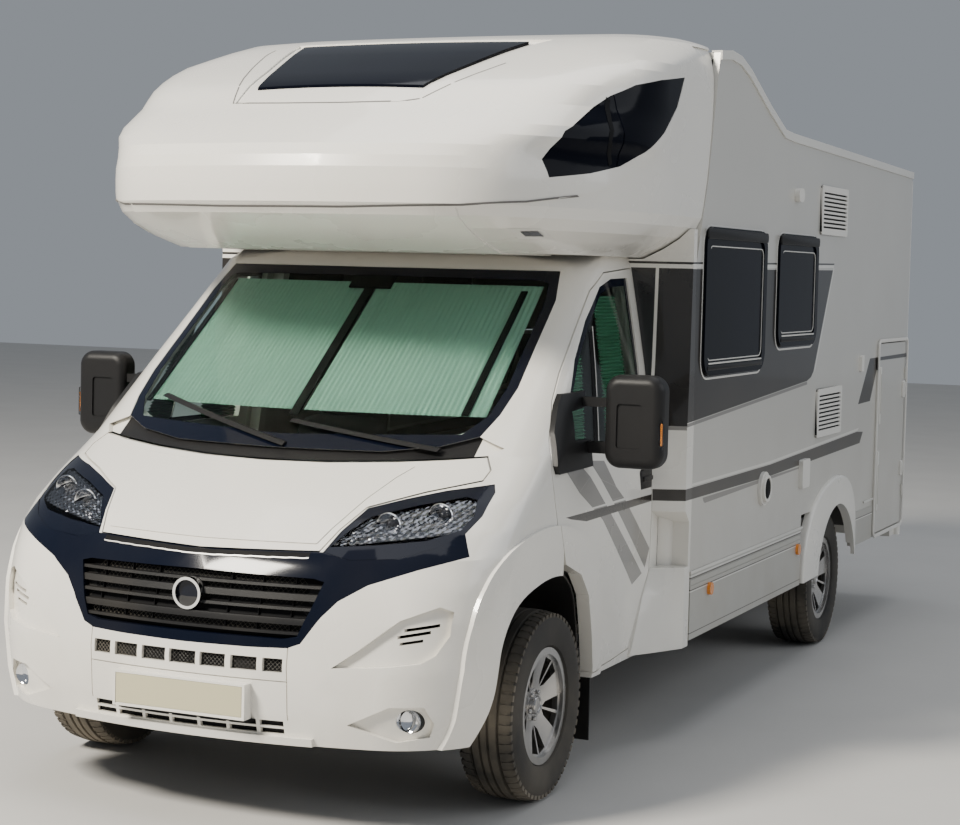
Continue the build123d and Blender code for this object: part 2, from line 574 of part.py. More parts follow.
def build_pod():
    """The moulded pod over the cab with its windows and skylight."""
    outer = pod_volume()
    front_zone = side_prism([(-700, 1900), (1232, 1900)] + POD_SEAM + [(1500, 3100), (-700, 3100)], -1300, 1300)
    cut = side_prism(POD_WINDOW, 700, 1300)
    shell = (outer - pod_volume(MOULDING)) & front_zone
    shell = shell - cut - mirror_x(cut) - top_prism(SKYLIGHT, 2600, 3200)
    shell = shell - cab_volume(-1) - box(-850, 850, 700, 1700, 2000, 2080)
    bed = (pod_volume(-10) - pod_volume(9)) & top_prism(SKYLIGHT_BED, 2560, 3200)
    below = side_prism(POD_CREASE, 700, 1300)
    step = (pod_volume(-10) - pod_volume(5)) & (below + mirror_x(below))
    write("alcove", drop_slivers(shell - bed - step))
    pane = (pod_volume(2) - pod_volume(8)) & side_prism(POD_WINDOW, 700, 1300, inset=FIT)
    post = (pod_volume(-1) - pod_volume(8)) & side_prism(POD_WINDOW, 700, 1300, inset=FIT)
    post = post & side_prism(POD_WINDOW_POST, 700, 1300)
    write("alcove_windows", pair(pane + post))
    dome = pod_volume(-4) - pod_volume(14)
    write("skylight", dome & top_prism(SKYLIGHT, 2600, 3200, inset=FIT))


def wall_outline():
    seam = [(WALL_FRONT, SKIRT_TOP), (WALL_FRONT, 1340), (POD_SEAM[0][0] + 2, POD_SEAM[0][1])]
    seam = seam + [(y + 2, z) for y, z in POD_SEAM[1:]]
    low = [(WALL_REAR, BODY_LOW), (WHEELBASE + 440, BODY_LOW), (WHEELBASE + 400, SKIRT_TOP + 60),
           (WHEELBASE - 705, SKIRT_TOP + 60), (WHEELBASE - 708, SKIRT_TOP)]
    return seam + ROOF_LINE[1:] + low


def rounded(y0, y1, z0, z1, radius, x0, x1, grow=0.0):
    """A rounded rectangle seen from the side, drawn out from x0 to x1."""
    face = RectangleRounded(y1 - y0 + 2 * grow, z1 - z0 + 2 * grow, radius + grow)
    plane = Plane(origin=(x0, (y0 + y1) / 2, (z0 + z1) / 2), x_dir=(0, 1, 0), z_dir=(1, 0, 0))
    return plane * extrude(face, amount=x1 - x0)


def hinge_barrels(y, heights):
    """Hinge barrels on the outer face, clear of the wall by a hair."""
    barrels = []
    for z in heights:
        barrels.append(Pos(HINGE_X, y, z) * Cylinder(HINGE_X - BODY_HALF_WIDTH - FIT, 70))
    return barrels


def window_unit(y0, y1, z0, z1, radius):
    """A hinged acrylic pane in its frame, let into the wall."""
    w = BODY_HALF_WIDTH
    pane = rounded(y0, y1, z0, z1, radius, w - PANEL + 4, w, grow=-FIT)
    frame = rounded(y0, y1, z0, z1, radius, w, w + 14, grow=18)
    frame = frame - rounded(y0, y1, z0, z1, radius, w + 6, w + 20, grow=-34)
    return pane + frame


def rear_window_unit():
    x0, x1, z0, z1 = REAR_WINDOW
    inner = box(x0 + FIT, x1 - FIT, REAR_FACE - PANEL + 4, REAR_FACE, z0 + FIT, z1 - FIT)
    return inner + box(x0 - 18, x1 + 18, REAR_FACE, REAR_FACE + 14, z0 - 18, z1 + 18)


def build_house():
    """The living body: walls, floor, roof, rear moulding, windows, doors and arches."""
    w = BODY_HALF_WIDTH
    wall = side_prism(wall_outline(), w - PANEL, w)
    left, right = wall, mirror_x(wall)
    windows = []
    for y0, y1, z0, z1, r in LEFT_WINDOWS:
        left = left - rounded(y0, y1, z0, z1, r, w - 60, w + 60)
        windows.append(window_unit(y0, y1, z0, z1, r))
    for y0, y1, z0, z1, r in RIGHT_WINDOWS:
        right = right - mirror_x(rounded(y0, y1, z0, z1, r, w - 60, w + 60))
        windows.append(mirror_x(window_unit(y0, y1, z0, z1, r)))
    y0, y1, z0, z1, r = GARAGE_DOOR
    hole = rounded(y0, y1, z0, z1, r, w - 60, w + 60)
    frame = rounded(y0, y1, z0, z1, r, w - 1, w + 7, grow=16) & box(w - 2, w + 20, y0 - 20, y1 - 22, z0 - 20, z1 + 20)
    left = left + frame - hole
    right = right + mirror_x(frame) - mirror_x(hole)
    lid = rounded(y0, y1, z0, z1, r, w - PANEL, w + 4, grow=-GAP - 1)
    latches = [box(w + 4, w + 26, y0 + 12, y0 + 40, z, z + 230) for z in (z0 + 180, z1 - 410)]
    lid = lid + latches + hinge_barrels(y1 - 2, (z0 + 200, z1 - 200))
    write("garage_door_left", lid)
    write("garage_door_right", mirror_x(lid))
    y0, y1, z0, z1, r = ENTRANCE
    right = right - mirror_x(rounded(y0, y1, z0, z1, r, w - 60, w + 60))
    door = rounded(y0, y1, z0, z1, r, w - PANEL, w + 4, grow=-GAP - 1)
    grip = box(w + 4, w + 30, y1 - 90, y1 - 60, 1180, 1400)
    barrels = hinge_barrels(y0 + 2, (z0 + 250, (z0 + z1) / 2, z1 - 250))
    write("entrance_door", mirror_x(door + grip + barrels))
    write("side_wall_left", left)
    write("side_wall_right", right)

    back = box(-w, w, WALL_REAR + FIT, REAR_FACE, BODY_LOW, ROOF_REAR)
    back = fillet(back.edges().filter_by(Axis.Z).sort_by(Axis.Y)[-2:], REAR_MOULDING - 7)
    back = fillet(back.edges().filter_by(Axis.X).group_by(Axis.Y)[-1].sort_by(Axis.Z)[-1:], 60)
    hollow = box(-w + PANEL, w - PANEL, WALL_REAR - 10, REAR_FACE - PANEL, BODY_LOW - 10, ROOF_REAR - PANEL)
    x0, x1, z0, z1 = REAR_WINDOW
    back = back - hollow - box(x0, x1, REAR_FACE - 80, REAR_FACE + 80, z0, z1)
    write("rear_wall", back)
    windows.append(rear_window_unit())
    write("house_windows", windows)

    top = [(y, z - 1) for y, z in ROOF_LINE]
    top[0] = (ROOF_LINE[0][0] + 4, ROOF_LINE[0][1] - 1)
    low = [(y, z - PANEL) for y, z in reversed(top)]
    write("roof", side_prism(top + low, -w + PANEL + FIT, w - PANEL - FIT))
    crown = [(y, z + ROOF_EDGE) for y, z in ROOF_LINE]
    flank = side_prism(crown + [(y, z - 32) for y, z in reversed(ROOF_LINE)], w + FIT, w + ROOF_EDGE)
    cap = side_prism(crown + [(y, z + FIT) for y, z in reversed(ROOF_LINE)], w - 40, w + 1)
    write("roof_edges", pair(flank + cap))

    floor = box(-w + PANEL, w - PANEL, WALL_FRONT + 8, WALL_REAR, HOUSE_FLOOR_TOP - HOUSE_FLOOR, HOUSE_FLOOR_TOP)
    well = box(850, w - PANEL, WHEELBASE - 450, WHEELBASE + 450, 600, 815)
    well_cut = box(862, w + 50, WHEELBASE - 438, WHEELBASE + 438, 300, 803)
    write("house_floor", floor + well + mirror_x(well) - well_cut - mirror_x(well_cut))

    skirt = box(w - 22, w + 3, WALL_FRONT + 8, WHEELBASE - 708, SKIRT_LOW, SKIRT_TOP - FIT)
    for z in (SKIRT_TOP - 38, SKIRT_TOP - 64):
        skirt = skirt - box(w, w + 10, WALL_FRONT, WHEELBASE, z, z + 5)
    rear_skirt = box(w + FIT, w + 4, WHEELBASE + 470, GARAGE_DOOR[0] - 20, BODY_LOW, BODY_LOW + 190)
    write("skirts", pair(skirt) + pair(rear_skirt))

    arch = side_arch(ARCH_OUTLINE, w - 24, w + 22, shift=WHEELBASE, middle=(0.0, 420.0))
    soft = arch.edges().group_by(Axis.X)[-1].sort_by(Axis.Z)[-1]
    arch = fillet(soft, 14)
    opening = wheel_cylinder(w - 100, w + 100, WHEELBASE, TYRE_RADIUS, ARCH_RADIUS)
    opening = opening + box(w - 100, w + 100, WHEELBASE - ARCH_RADIUS, WHEELBASE + ARCH_RADIUS, 0, TYRE_RADIUS)
    write("wheel_arches", pair(arch - opening - wall - box(w - 30, w, WHEELBASE + 380, WHEELBASE + 460, 440, 600)))


def fairing_section(z, edge_y, edge_x, corner_y, back_y, inner_x):
    """Plan of a fairing: door edge, outer corner, and the seam with the side wall."""
    w = BODY_HALF_WIDTH
    middle = ((edge_x + w) / 2, (edge_y + corner_y) / 2 - 6)
    points = [(inner_x, edge_y), (edge_x, edge_y), middle, (w, corner_y), (w, back_y), (inner_x, back_y)]
    return Pos(0, 0, z) * outline(points)


def build_fairings():
    """Mouldings that join the cab doors' rear edges to the side walls.

    The upper part follows the door's edge up to the pod. A hollow is let in below it, over a
    shelf. The lower part is a wedge whose faces meet in slanting creases.
    """
    w = BODY_HALF_WIDTH
    upper = loft([fairing_section(*row) for row in FAIRING_UPPER], ruled=True)
    ceiling = loft([fairing_section(*row) for row in FAIRING_CEILING], ruled=True)
    lower = loft([fairing_section(*row) for row in FAIRING_LOWER], ruled=True)
    back = box(990, w, 1236, WALL_FRONT - FIT, 740, 960)
    rib = Pos(1012, 1262, 850) * Cylinder(70, 230) & box(990, w, 1150, WALL_FRONT - FIT, 740, 960)
    fairing = upper + ceiling + lower + back + rib
    fairing = fairing - pod_volume(-0.5) - cab_volume(-FIT)
    write("cab_fairings", pair(fairing))


def build_side_fittings():
    """Vents with louvres, lights, fillers and markers on the side walls."""
    w = BODY_HALF_WIDTH
    vents = []
    for y0, y1, z0, z1 in VENTS:
        vent = rounded(y0, y1, z0, z1, 14, w, w + 12)
        pitch = (z1 - z0 - 56) / VENT_LOUVRES
        for k in range(VENT_LOUVRES):
            low = z0 + 28 + k * pitch
            vent = vent - box(w + 4, w + 20, y0 + 30, y1 - 30, low + 6, low + pitch - 6)
        vents.append(vent)
    write("fridge_vents", vents)
    things = [rounded(y0, y1, z0, z1, r, w, w + proud) for y0, y1, z0, z1, r, proud in FITTINGS]
    write("side_fittings", things)
    lamps = [wheel_cylinder(w + 3, w + 18, y, z, 28) for y, z in MARKERS]
    write("marker_lamps", lamps + [mirror_x(lamp) for lamp in lamps])


def build_roof_and_rear():
    below = [(WALL_REAR, 2000), (1480, 2000)]
    solid_roof = side_prism([(y, z - 0.7) for y, z in ROOF_LINE] + below, -1000, 1000)
    hatches = [box(-250, 250, 2850, 3350, 2630, 2740), box(-200, 200, 4450, 4850, 2610, 2702)]
    write("roof_hatches", [hatch - solid_roof for hatch in hatches])
    rear = box(-1120, 1120, REAR_FACE + FIT, REAR_END, 400, 560)
    rear = fillet(rear.edges().filter_by(Axis.Z), 20)
    rear = rear + box(-1090, 1090, WALL_REAR - 30, REAR_FACE + 10, 400, BODY_LOW - FIT)
    write("rear_bumper", rear)
    lamps = box(960, 1110, REAR_FACE, REAR_FACE + 26, 640, 1010)
    lamps = fillet(lamps.edges().filter_by(Axis.Y), 24)
    write("tail_lamps", pair(lamps))
    write("rear_plate", box(-260, 260, REAR_FACE, REAR_FACE + 8, 700, 812))


def tyre(x, y):
    """A tyre as a ring with rounded shoulders, its axis across the vehicle."""
    half, r = TYRE_WIDTH / 2, TYRE_RADIUS
    bead = RIM_DIAMETER / 2 - 14.0
    points = [(bead, -84), (bead + 15, -86.5), (bead + 22, -103), (r - 84, -half), (r - 58, -half),
              (r - 22, -half + 8), (r - 4, -half + 24), (r, -half + 44), (r, half - 44), (r - 4, half - 24),
              (r - 22, half - 8), (r - 58, half), (r - 84, half), (bead + 22, 103), (bead + 15, 86.5), (bead, 84)]
    ring = revolve(Plane.XZ * make_face(Polyline(*points, close=True)), axis=Axis.Z)
    return Pos(x, y, TYRE_RADIUS) * Rot(0, 90, 0) * ring


def rim(x, y):
    """A cast wheel with five broad dished spokes and split openings between them; faces +X."""
    r = RIM_DIAMETER / 2
    seat = r - 14.2
    half = RIM_WIDTH / 2
    points = [(seat - 12, -half), (r, -half), (r, -half + 8), (seat, -half + 10), (seat, half - 10),
              (r, half - 8), (r, half), (seat - 12, half)]
    barrel = revolve(Plane.XZ * make_face(Polyline(*points, close=True)), axis=Axis.Z)
    dish = [(0, 52), (60, 50), (120, 62), (seat - 6, 80), (seat - 6, 58), (120, 40), (60, 30), (0, 30)]
    face = revolve(Plane.XZ * make_face(Polyline(*dish, close=True)), axis=Axis.Z)
    slots = []
    for k in range(5):
        for side in (-1, 1):
            corners = [(78, 4 * side), (seat - 20, 6 * side), (seat - 34, 62 * side), (96, 26 * side)]
            slots.append(Rot(0, 0, 72 * k) * Pos(0, 0, 20) * extrude(outline(corners), amount=80))
    face = face - slots
    hub = Pos(0, 0, 26) * Cylinder(62, 52)
    disc = Pos(0, 0, 4) * Cylinder(150, 22)
    cap = Pos(0, 0, 54) * Cylinder(34, 14)
    wheel = barrel + face + hub + disc + cap
    return Pos(x, y, TYRE_RADIUS) * Rot(0, 90, 0) * wheel


def build_running_gear():
    """Wheels, knuckles, chassis, rear axle, engine block and what hangs below the floor."""
    for name, x, y in (("front_left", FRONT_WHEEL_X, 0), ("rear_left", REAR_WHEEL_X, WHEELBASE)):
        write("tyre_" + name, tyre(x, y))
        write("rim_" + name, rim(x, y))
        write("tyre_" + name.replace("left", "right"), mirror_x(tyre(x, y)))
        write("rim_" + name.replace("left", "right"), mirror_x(rim(x, y)))
    post = Pos(STEER_AXIS, 0, TYRE_RADIUS) * Cylinder(38, 224)
    knuckle = post + wheel_cylinder(STEER_AXIS, FACE_X, 0, TYRE_RADIUS, 48)
    write("knuckle_left", knuckle)
    write("knuckle_right", mirror_x(knuckle))
    front = box(380, 440, -840, 1300, 440, 559.7)
    rear = box(380, 440, 1240, WALL_REAR - 20, 545, RAIL_TOP)
    cross = [box(-380, 380, y, y + 70, 460, 540) for y in (-840, 400, 1150)]
    cross += [box(-380, 380, y, y + 70, 560, 660) for y in (2000, 2900, WHEELBASE + 700, WALL_REAR - 100)]
    outriggers = [box(440, BODY_HALF_WIDTH - 22.3, y, y + 50, 640, RAIL_TOP) for y in (1400, 2200, 3000)]
    outriggers += [box(440, BODY_HALF_WIDTH - PANEL - FIT, y, y + 50, 640, RAIL_TOP)
                   for y in (WHEELBASE + 700, WALL_REAR - 200)]
    subframe = box(-560, 560, -110, 110, 330, 440)
    ball_top = TYRE_RADIUS - 112 - FIT
    arm = box(540, STEER_AXIS, -30, 30, ball_top - 26, ball_top) + box(540, 580, -60, 60, ball_top - 26, 340)
    arm = arm + Pos(STEER_AXIS, 0, ball_top - 13) * Cylinder(30, 26)
    strut = Pos(STRUT_X, 0, 705) * Cylinder(20, 510)
    tower = box(440, 760, -50, 50, 940, 960) + box(440, 470, -50, 50, 500, 960)
    frame = front + rear + outriggers + arm + strut + tower
    write("chassis_frame", [frame + mirror_x(frame) + subframe + cross])
    axle = wheel_cylinder(-REAR_WHEEL_X + 7.3, REAR_WHEEL_X - 7.3, WHEELBASE, TYRE_RADIUS, 45)
    low = TYRE_RADIUS + 45
    spring = box(690, 760, WHEELBASE - 650, WHEELBASE + 650, low, low + 30)
    for y in (WHEELBASE - 650, WHEELBASE + 600):
        spring = spring + box(690, 760, y, y + 50, low, RAIL_TOP)
    write("rear_axle", axle + spring + mirror_x(spring))
    write("engine", box(-420, 420, -560, -75, 560, 1000))
    slam = cab_layer(LID + FIT, LID + 60) & box(-400, 400, -900, -600, 989.5, 1030)
    slam = slam + (cab_layer(SHELL + 0.5, SHELL + 44) & box(-400, 400, -900, -600, 905, 990.5))
    core = box(-330, 330, -790, -740, 560, 915) + box(-440, 440, -790, -740, 560, 600)
    write("radiator", slam + core)
    tanks = [box(-370, 370, 1400, 1950, 440, RAIL_TOP), box(-370, 370, WHEELBASE + 150, WHEELBASE + 650, 430, RAIL_TOP)]
    write("underfloor_tanks", tanks)
    flap = box(740, 1000, 478, 486, 130, 384) + box(740, 790, 478, 486, 380, 559.7)
    write("mudflaps", pair(flap))


def main():
    os.makedirs("parts", exist_ok=True)
    build_cab()
    build_pod()
    build_house()
    build_fairings()
    build_side_fittings()
    build_roof_and_rear()
    build_running_gear()


if __name__ == "__main__":
    main()
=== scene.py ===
# %% [markdown]
# # Motorhome with a sleeping pod over the cab
# The solids of the frame already give every panel its real place and size. This lesson dresses
# them: paint, glass, rubber and moulded plastic, and the finer pieces that a plain solid lacks.

# %% Setup
import bpy
import bmesh
import json
import math
from functools import reduce
from mathutils import Matrix, Vector
from mathutils.bvhtree import BVHTree

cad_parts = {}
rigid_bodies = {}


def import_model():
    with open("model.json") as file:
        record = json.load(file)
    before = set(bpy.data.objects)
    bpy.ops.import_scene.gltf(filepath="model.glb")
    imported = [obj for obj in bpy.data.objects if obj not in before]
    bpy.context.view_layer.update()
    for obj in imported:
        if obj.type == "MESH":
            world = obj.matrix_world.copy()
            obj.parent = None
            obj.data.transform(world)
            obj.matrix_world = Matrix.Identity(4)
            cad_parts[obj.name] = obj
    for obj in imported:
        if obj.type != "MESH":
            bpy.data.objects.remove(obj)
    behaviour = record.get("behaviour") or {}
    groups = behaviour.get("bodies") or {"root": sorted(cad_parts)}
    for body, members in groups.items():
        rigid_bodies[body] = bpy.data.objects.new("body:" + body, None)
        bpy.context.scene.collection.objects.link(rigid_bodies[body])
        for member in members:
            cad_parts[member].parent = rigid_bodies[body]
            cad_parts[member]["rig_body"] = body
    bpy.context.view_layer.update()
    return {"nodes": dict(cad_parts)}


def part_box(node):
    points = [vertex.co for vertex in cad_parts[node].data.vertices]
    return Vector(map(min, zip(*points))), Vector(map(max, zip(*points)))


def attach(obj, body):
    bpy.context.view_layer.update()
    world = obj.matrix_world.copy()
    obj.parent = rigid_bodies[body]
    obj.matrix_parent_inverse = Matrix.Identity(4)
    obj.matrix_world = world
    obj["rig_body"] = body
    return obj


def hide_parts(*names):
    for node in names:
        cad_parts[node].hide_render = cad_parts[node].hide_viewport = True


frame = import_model()
nodes = frame["nodes"]
AXLE = -2.336                    # the front axle's Y, metres
HANDS = ((1, "left"), (-1, "right"))
FORWARD = Vector((0, 1, 0))      # from the nose to the tail
link_object = bpy.context.scene.collection.objects.link

# %% [markdown]
# ## The camera
# The photo was taken from a little under two metres up, in front of the vehicle and to its left,
# with a long lens. Place, direction and lens were worked out from the wheels and the number plate.

# %% Camera
PICTURE_WIDTH, PICTURE_HEIGHT = 960, 825
SENSOR = 36.0                    # millimetres

FOCAL, CENTRE_X, CENTRE_Y = 2032.2, 475.0, 379.8     # pixels
place = (3.7957, -7.0253 + AXLE, 1.9869)
azimuth, pitch, roll = (math.radians(v) for v in (23.9, -3.1, 1.4))
look = Vector((-math.sin(azimuth) * math.cos(pitch), math.cos(azimuth) * math.cos(pitch), math.sin(pitch)))
right = Vector((math.cos(azimuth), math.sin(azimuth), 0.0))
up = right.cross(look)
right, up = right * math.cos(roll) + up * math.sin(roll), up * math.cos(roll) - right * math.sin(roll)
data = bpy.data.cameras.new("photo_camera")
data.sensor_width = SENSOR
data.lens = SENSOR * FOCAL / PICTURE_WIDTH
data.shift_x = (PICTURE_WIDTH / 2 - CENTRE_X) / PICTURE_WIDTH
data.shift_y = (CENTRE_Y - PICTURE_HEIGHT / 2) / PICTURE_WIDTH
data.clip_end = 200.0
camera = bpy.data.objects.new("photo_camera", data)
link_object(camera)
camera.matrix_world = Matrix((*zip(right, up, -look, place), (0, 0, 0, 1)))
bpy.context.scene.camera = camera
print("lens", round(data.lens, 1), "mm")

# %% [markdown]
# ## The studio
# A pale floor and broad soft lamps, the strongest from the front left of the vehicle's nose, so
# that the nose is bright and the long side falls into soft shade, as in the photo.

# %% Floor and lights
floor_bm = bmesh.new()
bmesh.ops.create_grid(floor_bm, x_segments=1, y_segments=1, size=30)
floor_mesh = bpy.data.meshes.new("studio_floor")
floor_bm.to_mesh(floor_mesh)
studio_floor = bpy.data.objects.new("studio_floor", floor_mesh)
link_object(studio_floor)

def soft_lamp(name, place, target, size, power, tint):
    data = bpy.data.lights.new(name, "AREA")
    data.shape = "RECTANGLE"
    data.size, data.size_y = size
    data.energy = power
    data.color = tint
    lamp = bpy.data.objects.new(name, data)
    lamp.location = place
    lamp.rotation_euler = (Vector(target) - Vector(place)).to_track_quat("-Z", "Y").to_euler()
    link_object(lamp)

soft_lamp("key_lamp", (-5.5, -12.0, 11.0), (0, -1.5, 1.2), (3.2, 3.2), 4300, (1.0, 0.94, 0.83))
soft_lamp("side_lamp", (10.0, 1.0, 6.0), (0.8, 0.5, 1.2), (9, 6), 300, (0.93, 0.96, 1.0))
soft_lamp("top_lamp", (0.0, 0.0, 9.5), (0, 0, 0), (8, 10), 380, (0.97, 0.98, 1.0))

world = bpy.data.worlds.new("studio_air")
bpy.context.scene.world = world
world.use_nodes = True
air = world.node_tree.nodes["Background"]
air.inputs["Color"].default_value = (0.74, 0.8, 0.88, 1)
air.inputs["Strength"].default_value = 0.36

# %% [markdown]
# ## Finishes
# Road dust gathers low on the body and fades upward. Two node groups hold what many finishes
# share: a dust mask that follows height, and a fine surface ripple.

# %% Nodes in one call each
def add_node(tree, kind, sockets, **settings):
    """Adds a shader node; a socket is given a value or the output of another node."""
    node = tree.nodes.new("ShaderNode" + kind)
    for label, value in settings.items():
        setattr(node, label, value)
    for socket, value in sockets.items():
        if hasattr(value, "is_output"):
            tree.links.new(value, node.inputs[socket])
        else:
            node.inputs[socket].default_value = value
    return node

def combine(tree, operation, a, b):
    return add_node(tree, "Math", {0: a, 1: b}, operation=operation).outputs[0]

def object_point(tree):
    return add_node(tree, "TexCoord", {}).outputs["Object"]

def new_group(name, inputs, outputs, kind="NodeSocketFloat"):
    """An empty node group with float inputs; returns it with its input and output nodes."""
    group = bpy.data.node_groups.new(name, "ShaderNodeTree")
    for label, value in inputs.items():
        socket = group.interface.new_socket(label, in_out="INPUT", socket_type="NodeSocketFloat")
        socket.default_value = value
    for label in outputs:
        group.interface.new_socket(label, in_out="OUTPUT", socket_type=kind)
    return group, group.nodes.new("NodeGroupInput").outputs, group.nodes.new("NodeGroupOutput").inputs

# %% Shared node groups
ROAD_DUST, source, sink = new_group("road_dust", {"Low": 0.2, "High": 1.4, "Amount": 0.5}, ["Mask"])
point = object_point(ROAD_DUST)
split = add_node(ROAD_DUST, "SeparateXYZ", {0: point})
height = add_node(ROAD_DUST, "MapRange", {"Value": split.outputs["Z"], "From Min": source["Low"],
                                          "From Max": source["High"], "To Min": 1.0, "To Max": 0.12})
speckle = add_node(ROAD_DUST, "TexNoise", {"Scale": 2.6, "Detail": 7.0, "Vector": point})
spread = add_node(ROAD_DUST, "MapRange", {"Value": speckle.outputs["Fac"], "From Min": 0.38, "From Max": 0.72})
both = combine(ROAD_DUST, "MULTIPLY", height.outputs[0], spread.outputs[0])
ROAD_DUST.links.new(combine(ROAD_DUST, "MULTIPLY", both, source["Amount"]), sink["Mask"])

RIPPLE, source, sink = new_group("fine_ripple", {"Scale": 300.0, "Strength": 0.1}, ["Normal"], "NodeSocketVector")
grain = add_node(RIPPLE, "TexNoise", {"Detail": 3.0, "Scale": source["Scale"], "Vector": object_point(RIPPLE)})
bump = add_node(RIPPLE, "Bump", {"Distance": 0.001, "Height": grain.outputs["Fac"], "Strength": source["Strength"]})
RIPPLE.links.new(bump.outputs["Normal"], sink["Normal"])
print("groups", [g.name for g in bpy.data.node_groups])

# %% [markdown]
# The graphics on the sides are flat films on the paint. Each is a few convex outlines, and a
# convex outline is the smallest of its distances to its own edges, which nodes can work out.

# %% Outlines drawn by nodes
SOFT_EDGE = 0.0006               # half the width over which an outline's edge fades, metres

def convex_mask(tree, point, corners, plane):
    """1 inside a convex outline in millimetres from the front axle: (y, z), or (x, z) from the front."""
    first = AXLE if plane == "side" else 0.0
    spots = [Vector((a / 1000 + first, z / 1000)) for a, z in corners]
    if sum(p.x * q.y - q.x * p.y for p, q in zip(spots, spots[1:] + spots[:1])) < 0:
        spots.reverse()
    distances = []
    for p, q in zip(spots, spots[1:] + spots[:1]):
        along = (q - p).normalized()
        normal = (0, -along.y, along.x) if plane == "side" else (-along.y, 0, along.x)
        dot = add_node(tree, "VectorMath", {0: point, 1: normal}, operation="DOT_PRODUCT")
        distances.append(combine(tree, "SUBTRACT", dot.outputs["Value"], -along.y * p.x + along.x * p.y))
    nearest = reduce(lambda a, b: combine(tree, "MINIMUM", a, b), distances)
    return add_node(tree, "MapRange", {"Value": nearest, "From Min": -SOFT_EDGE, "From Max": SOFT_EDGE}).outputs[0]

def union_mask(tree, point, outlines, plane="side"):
    masks = [convex_mask(tree, point, corners, plane) for corners in outlines]
    return reduce(lambda a, b: combine(tree, "MAXIMUM", a, b), masks)

# %% The side graphics as one shared group
FILMS = {"Dark": [
    [(1157, 1360), (1196, 1362), (3124, 1462), (3200, 1478), (3248, 1506), (3586, 2030), (1157, 2012)],
    [(1100, 1030), (2490, 1028), (2490, 1084), (1100, 1079)],
    [(2480, 1028), (4329, 1062), (4400, 1122), (4256, 1131), (2480, 1084)],
    [(4260, 1285), (4552, 1289), (4738, 1514), (4515, 1533)],
    [(4515, 1516), (5607, 1516), (5602, 1541), (4515, 1535)],
    [(78, 1059), (161, 1047), (270, 1022), (1110, 1029), (1110, 1058)],
    [(1157, 2033), (3608, 2058), (3612, 2066), (1157, 2041)],
], "Light": [
    [(1157, 2017), (3600, 2042), (3608, 2056), (1157, 2032)],
    [(1100, 1085), (2485, 1089), (2485, 1101), (1100, 1096)],
    [(2480, 1089), (4270, 1136), (4300, 1150), (2480, 1101)],
    [(3262, 1506), (3276, 1504), (3614, 2040), (3598, 2042)],
    [(78, 1063), (1110, 1064), (1110, 1076), (78, 1067)],
], "Grey": [
    [(1196, 1344), (3130, 1444), (3124, 1459), (1196, 1359)],
    [(1157, 1342), (1198, 1344), (1198, 1359), (1157, 1357)],
    [(1430, 1004), (3080, 1028), (3080, 1022), (1448, 996)],
    [(1415, 1022), (1430, 1004), (3080, 1024), (3080, 1030)],
    [(121, 1241), (258, 1140), (387, 1191), (248, 1264)], [(258, 1140), (512, 1009), (521, 1087), (387, 1191)],
    [(512, 1009), (892, 700), (1008, 733), (521, 1087)], [(382, 1254), (499, 1172), (672, 1127), (549, 1241)],
    [(499, 1172), (619, 1078), (751, 1080), (672, 1127)], [(619, 1078), (1041, 752), (1091, 830), (751, 1080)],
]}

FILM_COLOURS = {"Grey": (0.27, 0.26, 0.245), "Dark": (0.020, 0.017, 0.015), "Light": (0.85, 0.83, 0.78)}

SIDE_FILMS, _, sink = new_group("side_films", {}, FILMS)
point = object_point(SIDE_FILMS)
for label, outlines in FILMS.items():
    SIDE_FILMS.links.new(union_mask(SIDE_FILMS, point, outlines), sink[label])
print("film outlines", sum(len(outlines) for outlines in FILMS.values()))

# %% A finish: one Principled shader with dust and ripple
DUST_COLOUR = (0.4, 0.345, 0.265)
FINISHES, SLOT_OF = {}, {}

def tint_over(tree, below, mask, colour):
    """Lays a colour over what is below it where the mask is 1."""
    return add_node(tree, "Mix", {"Factor": mask, "A": below, "B": (*colour, 1)}, data_type="RGBA").outputs["Result"]

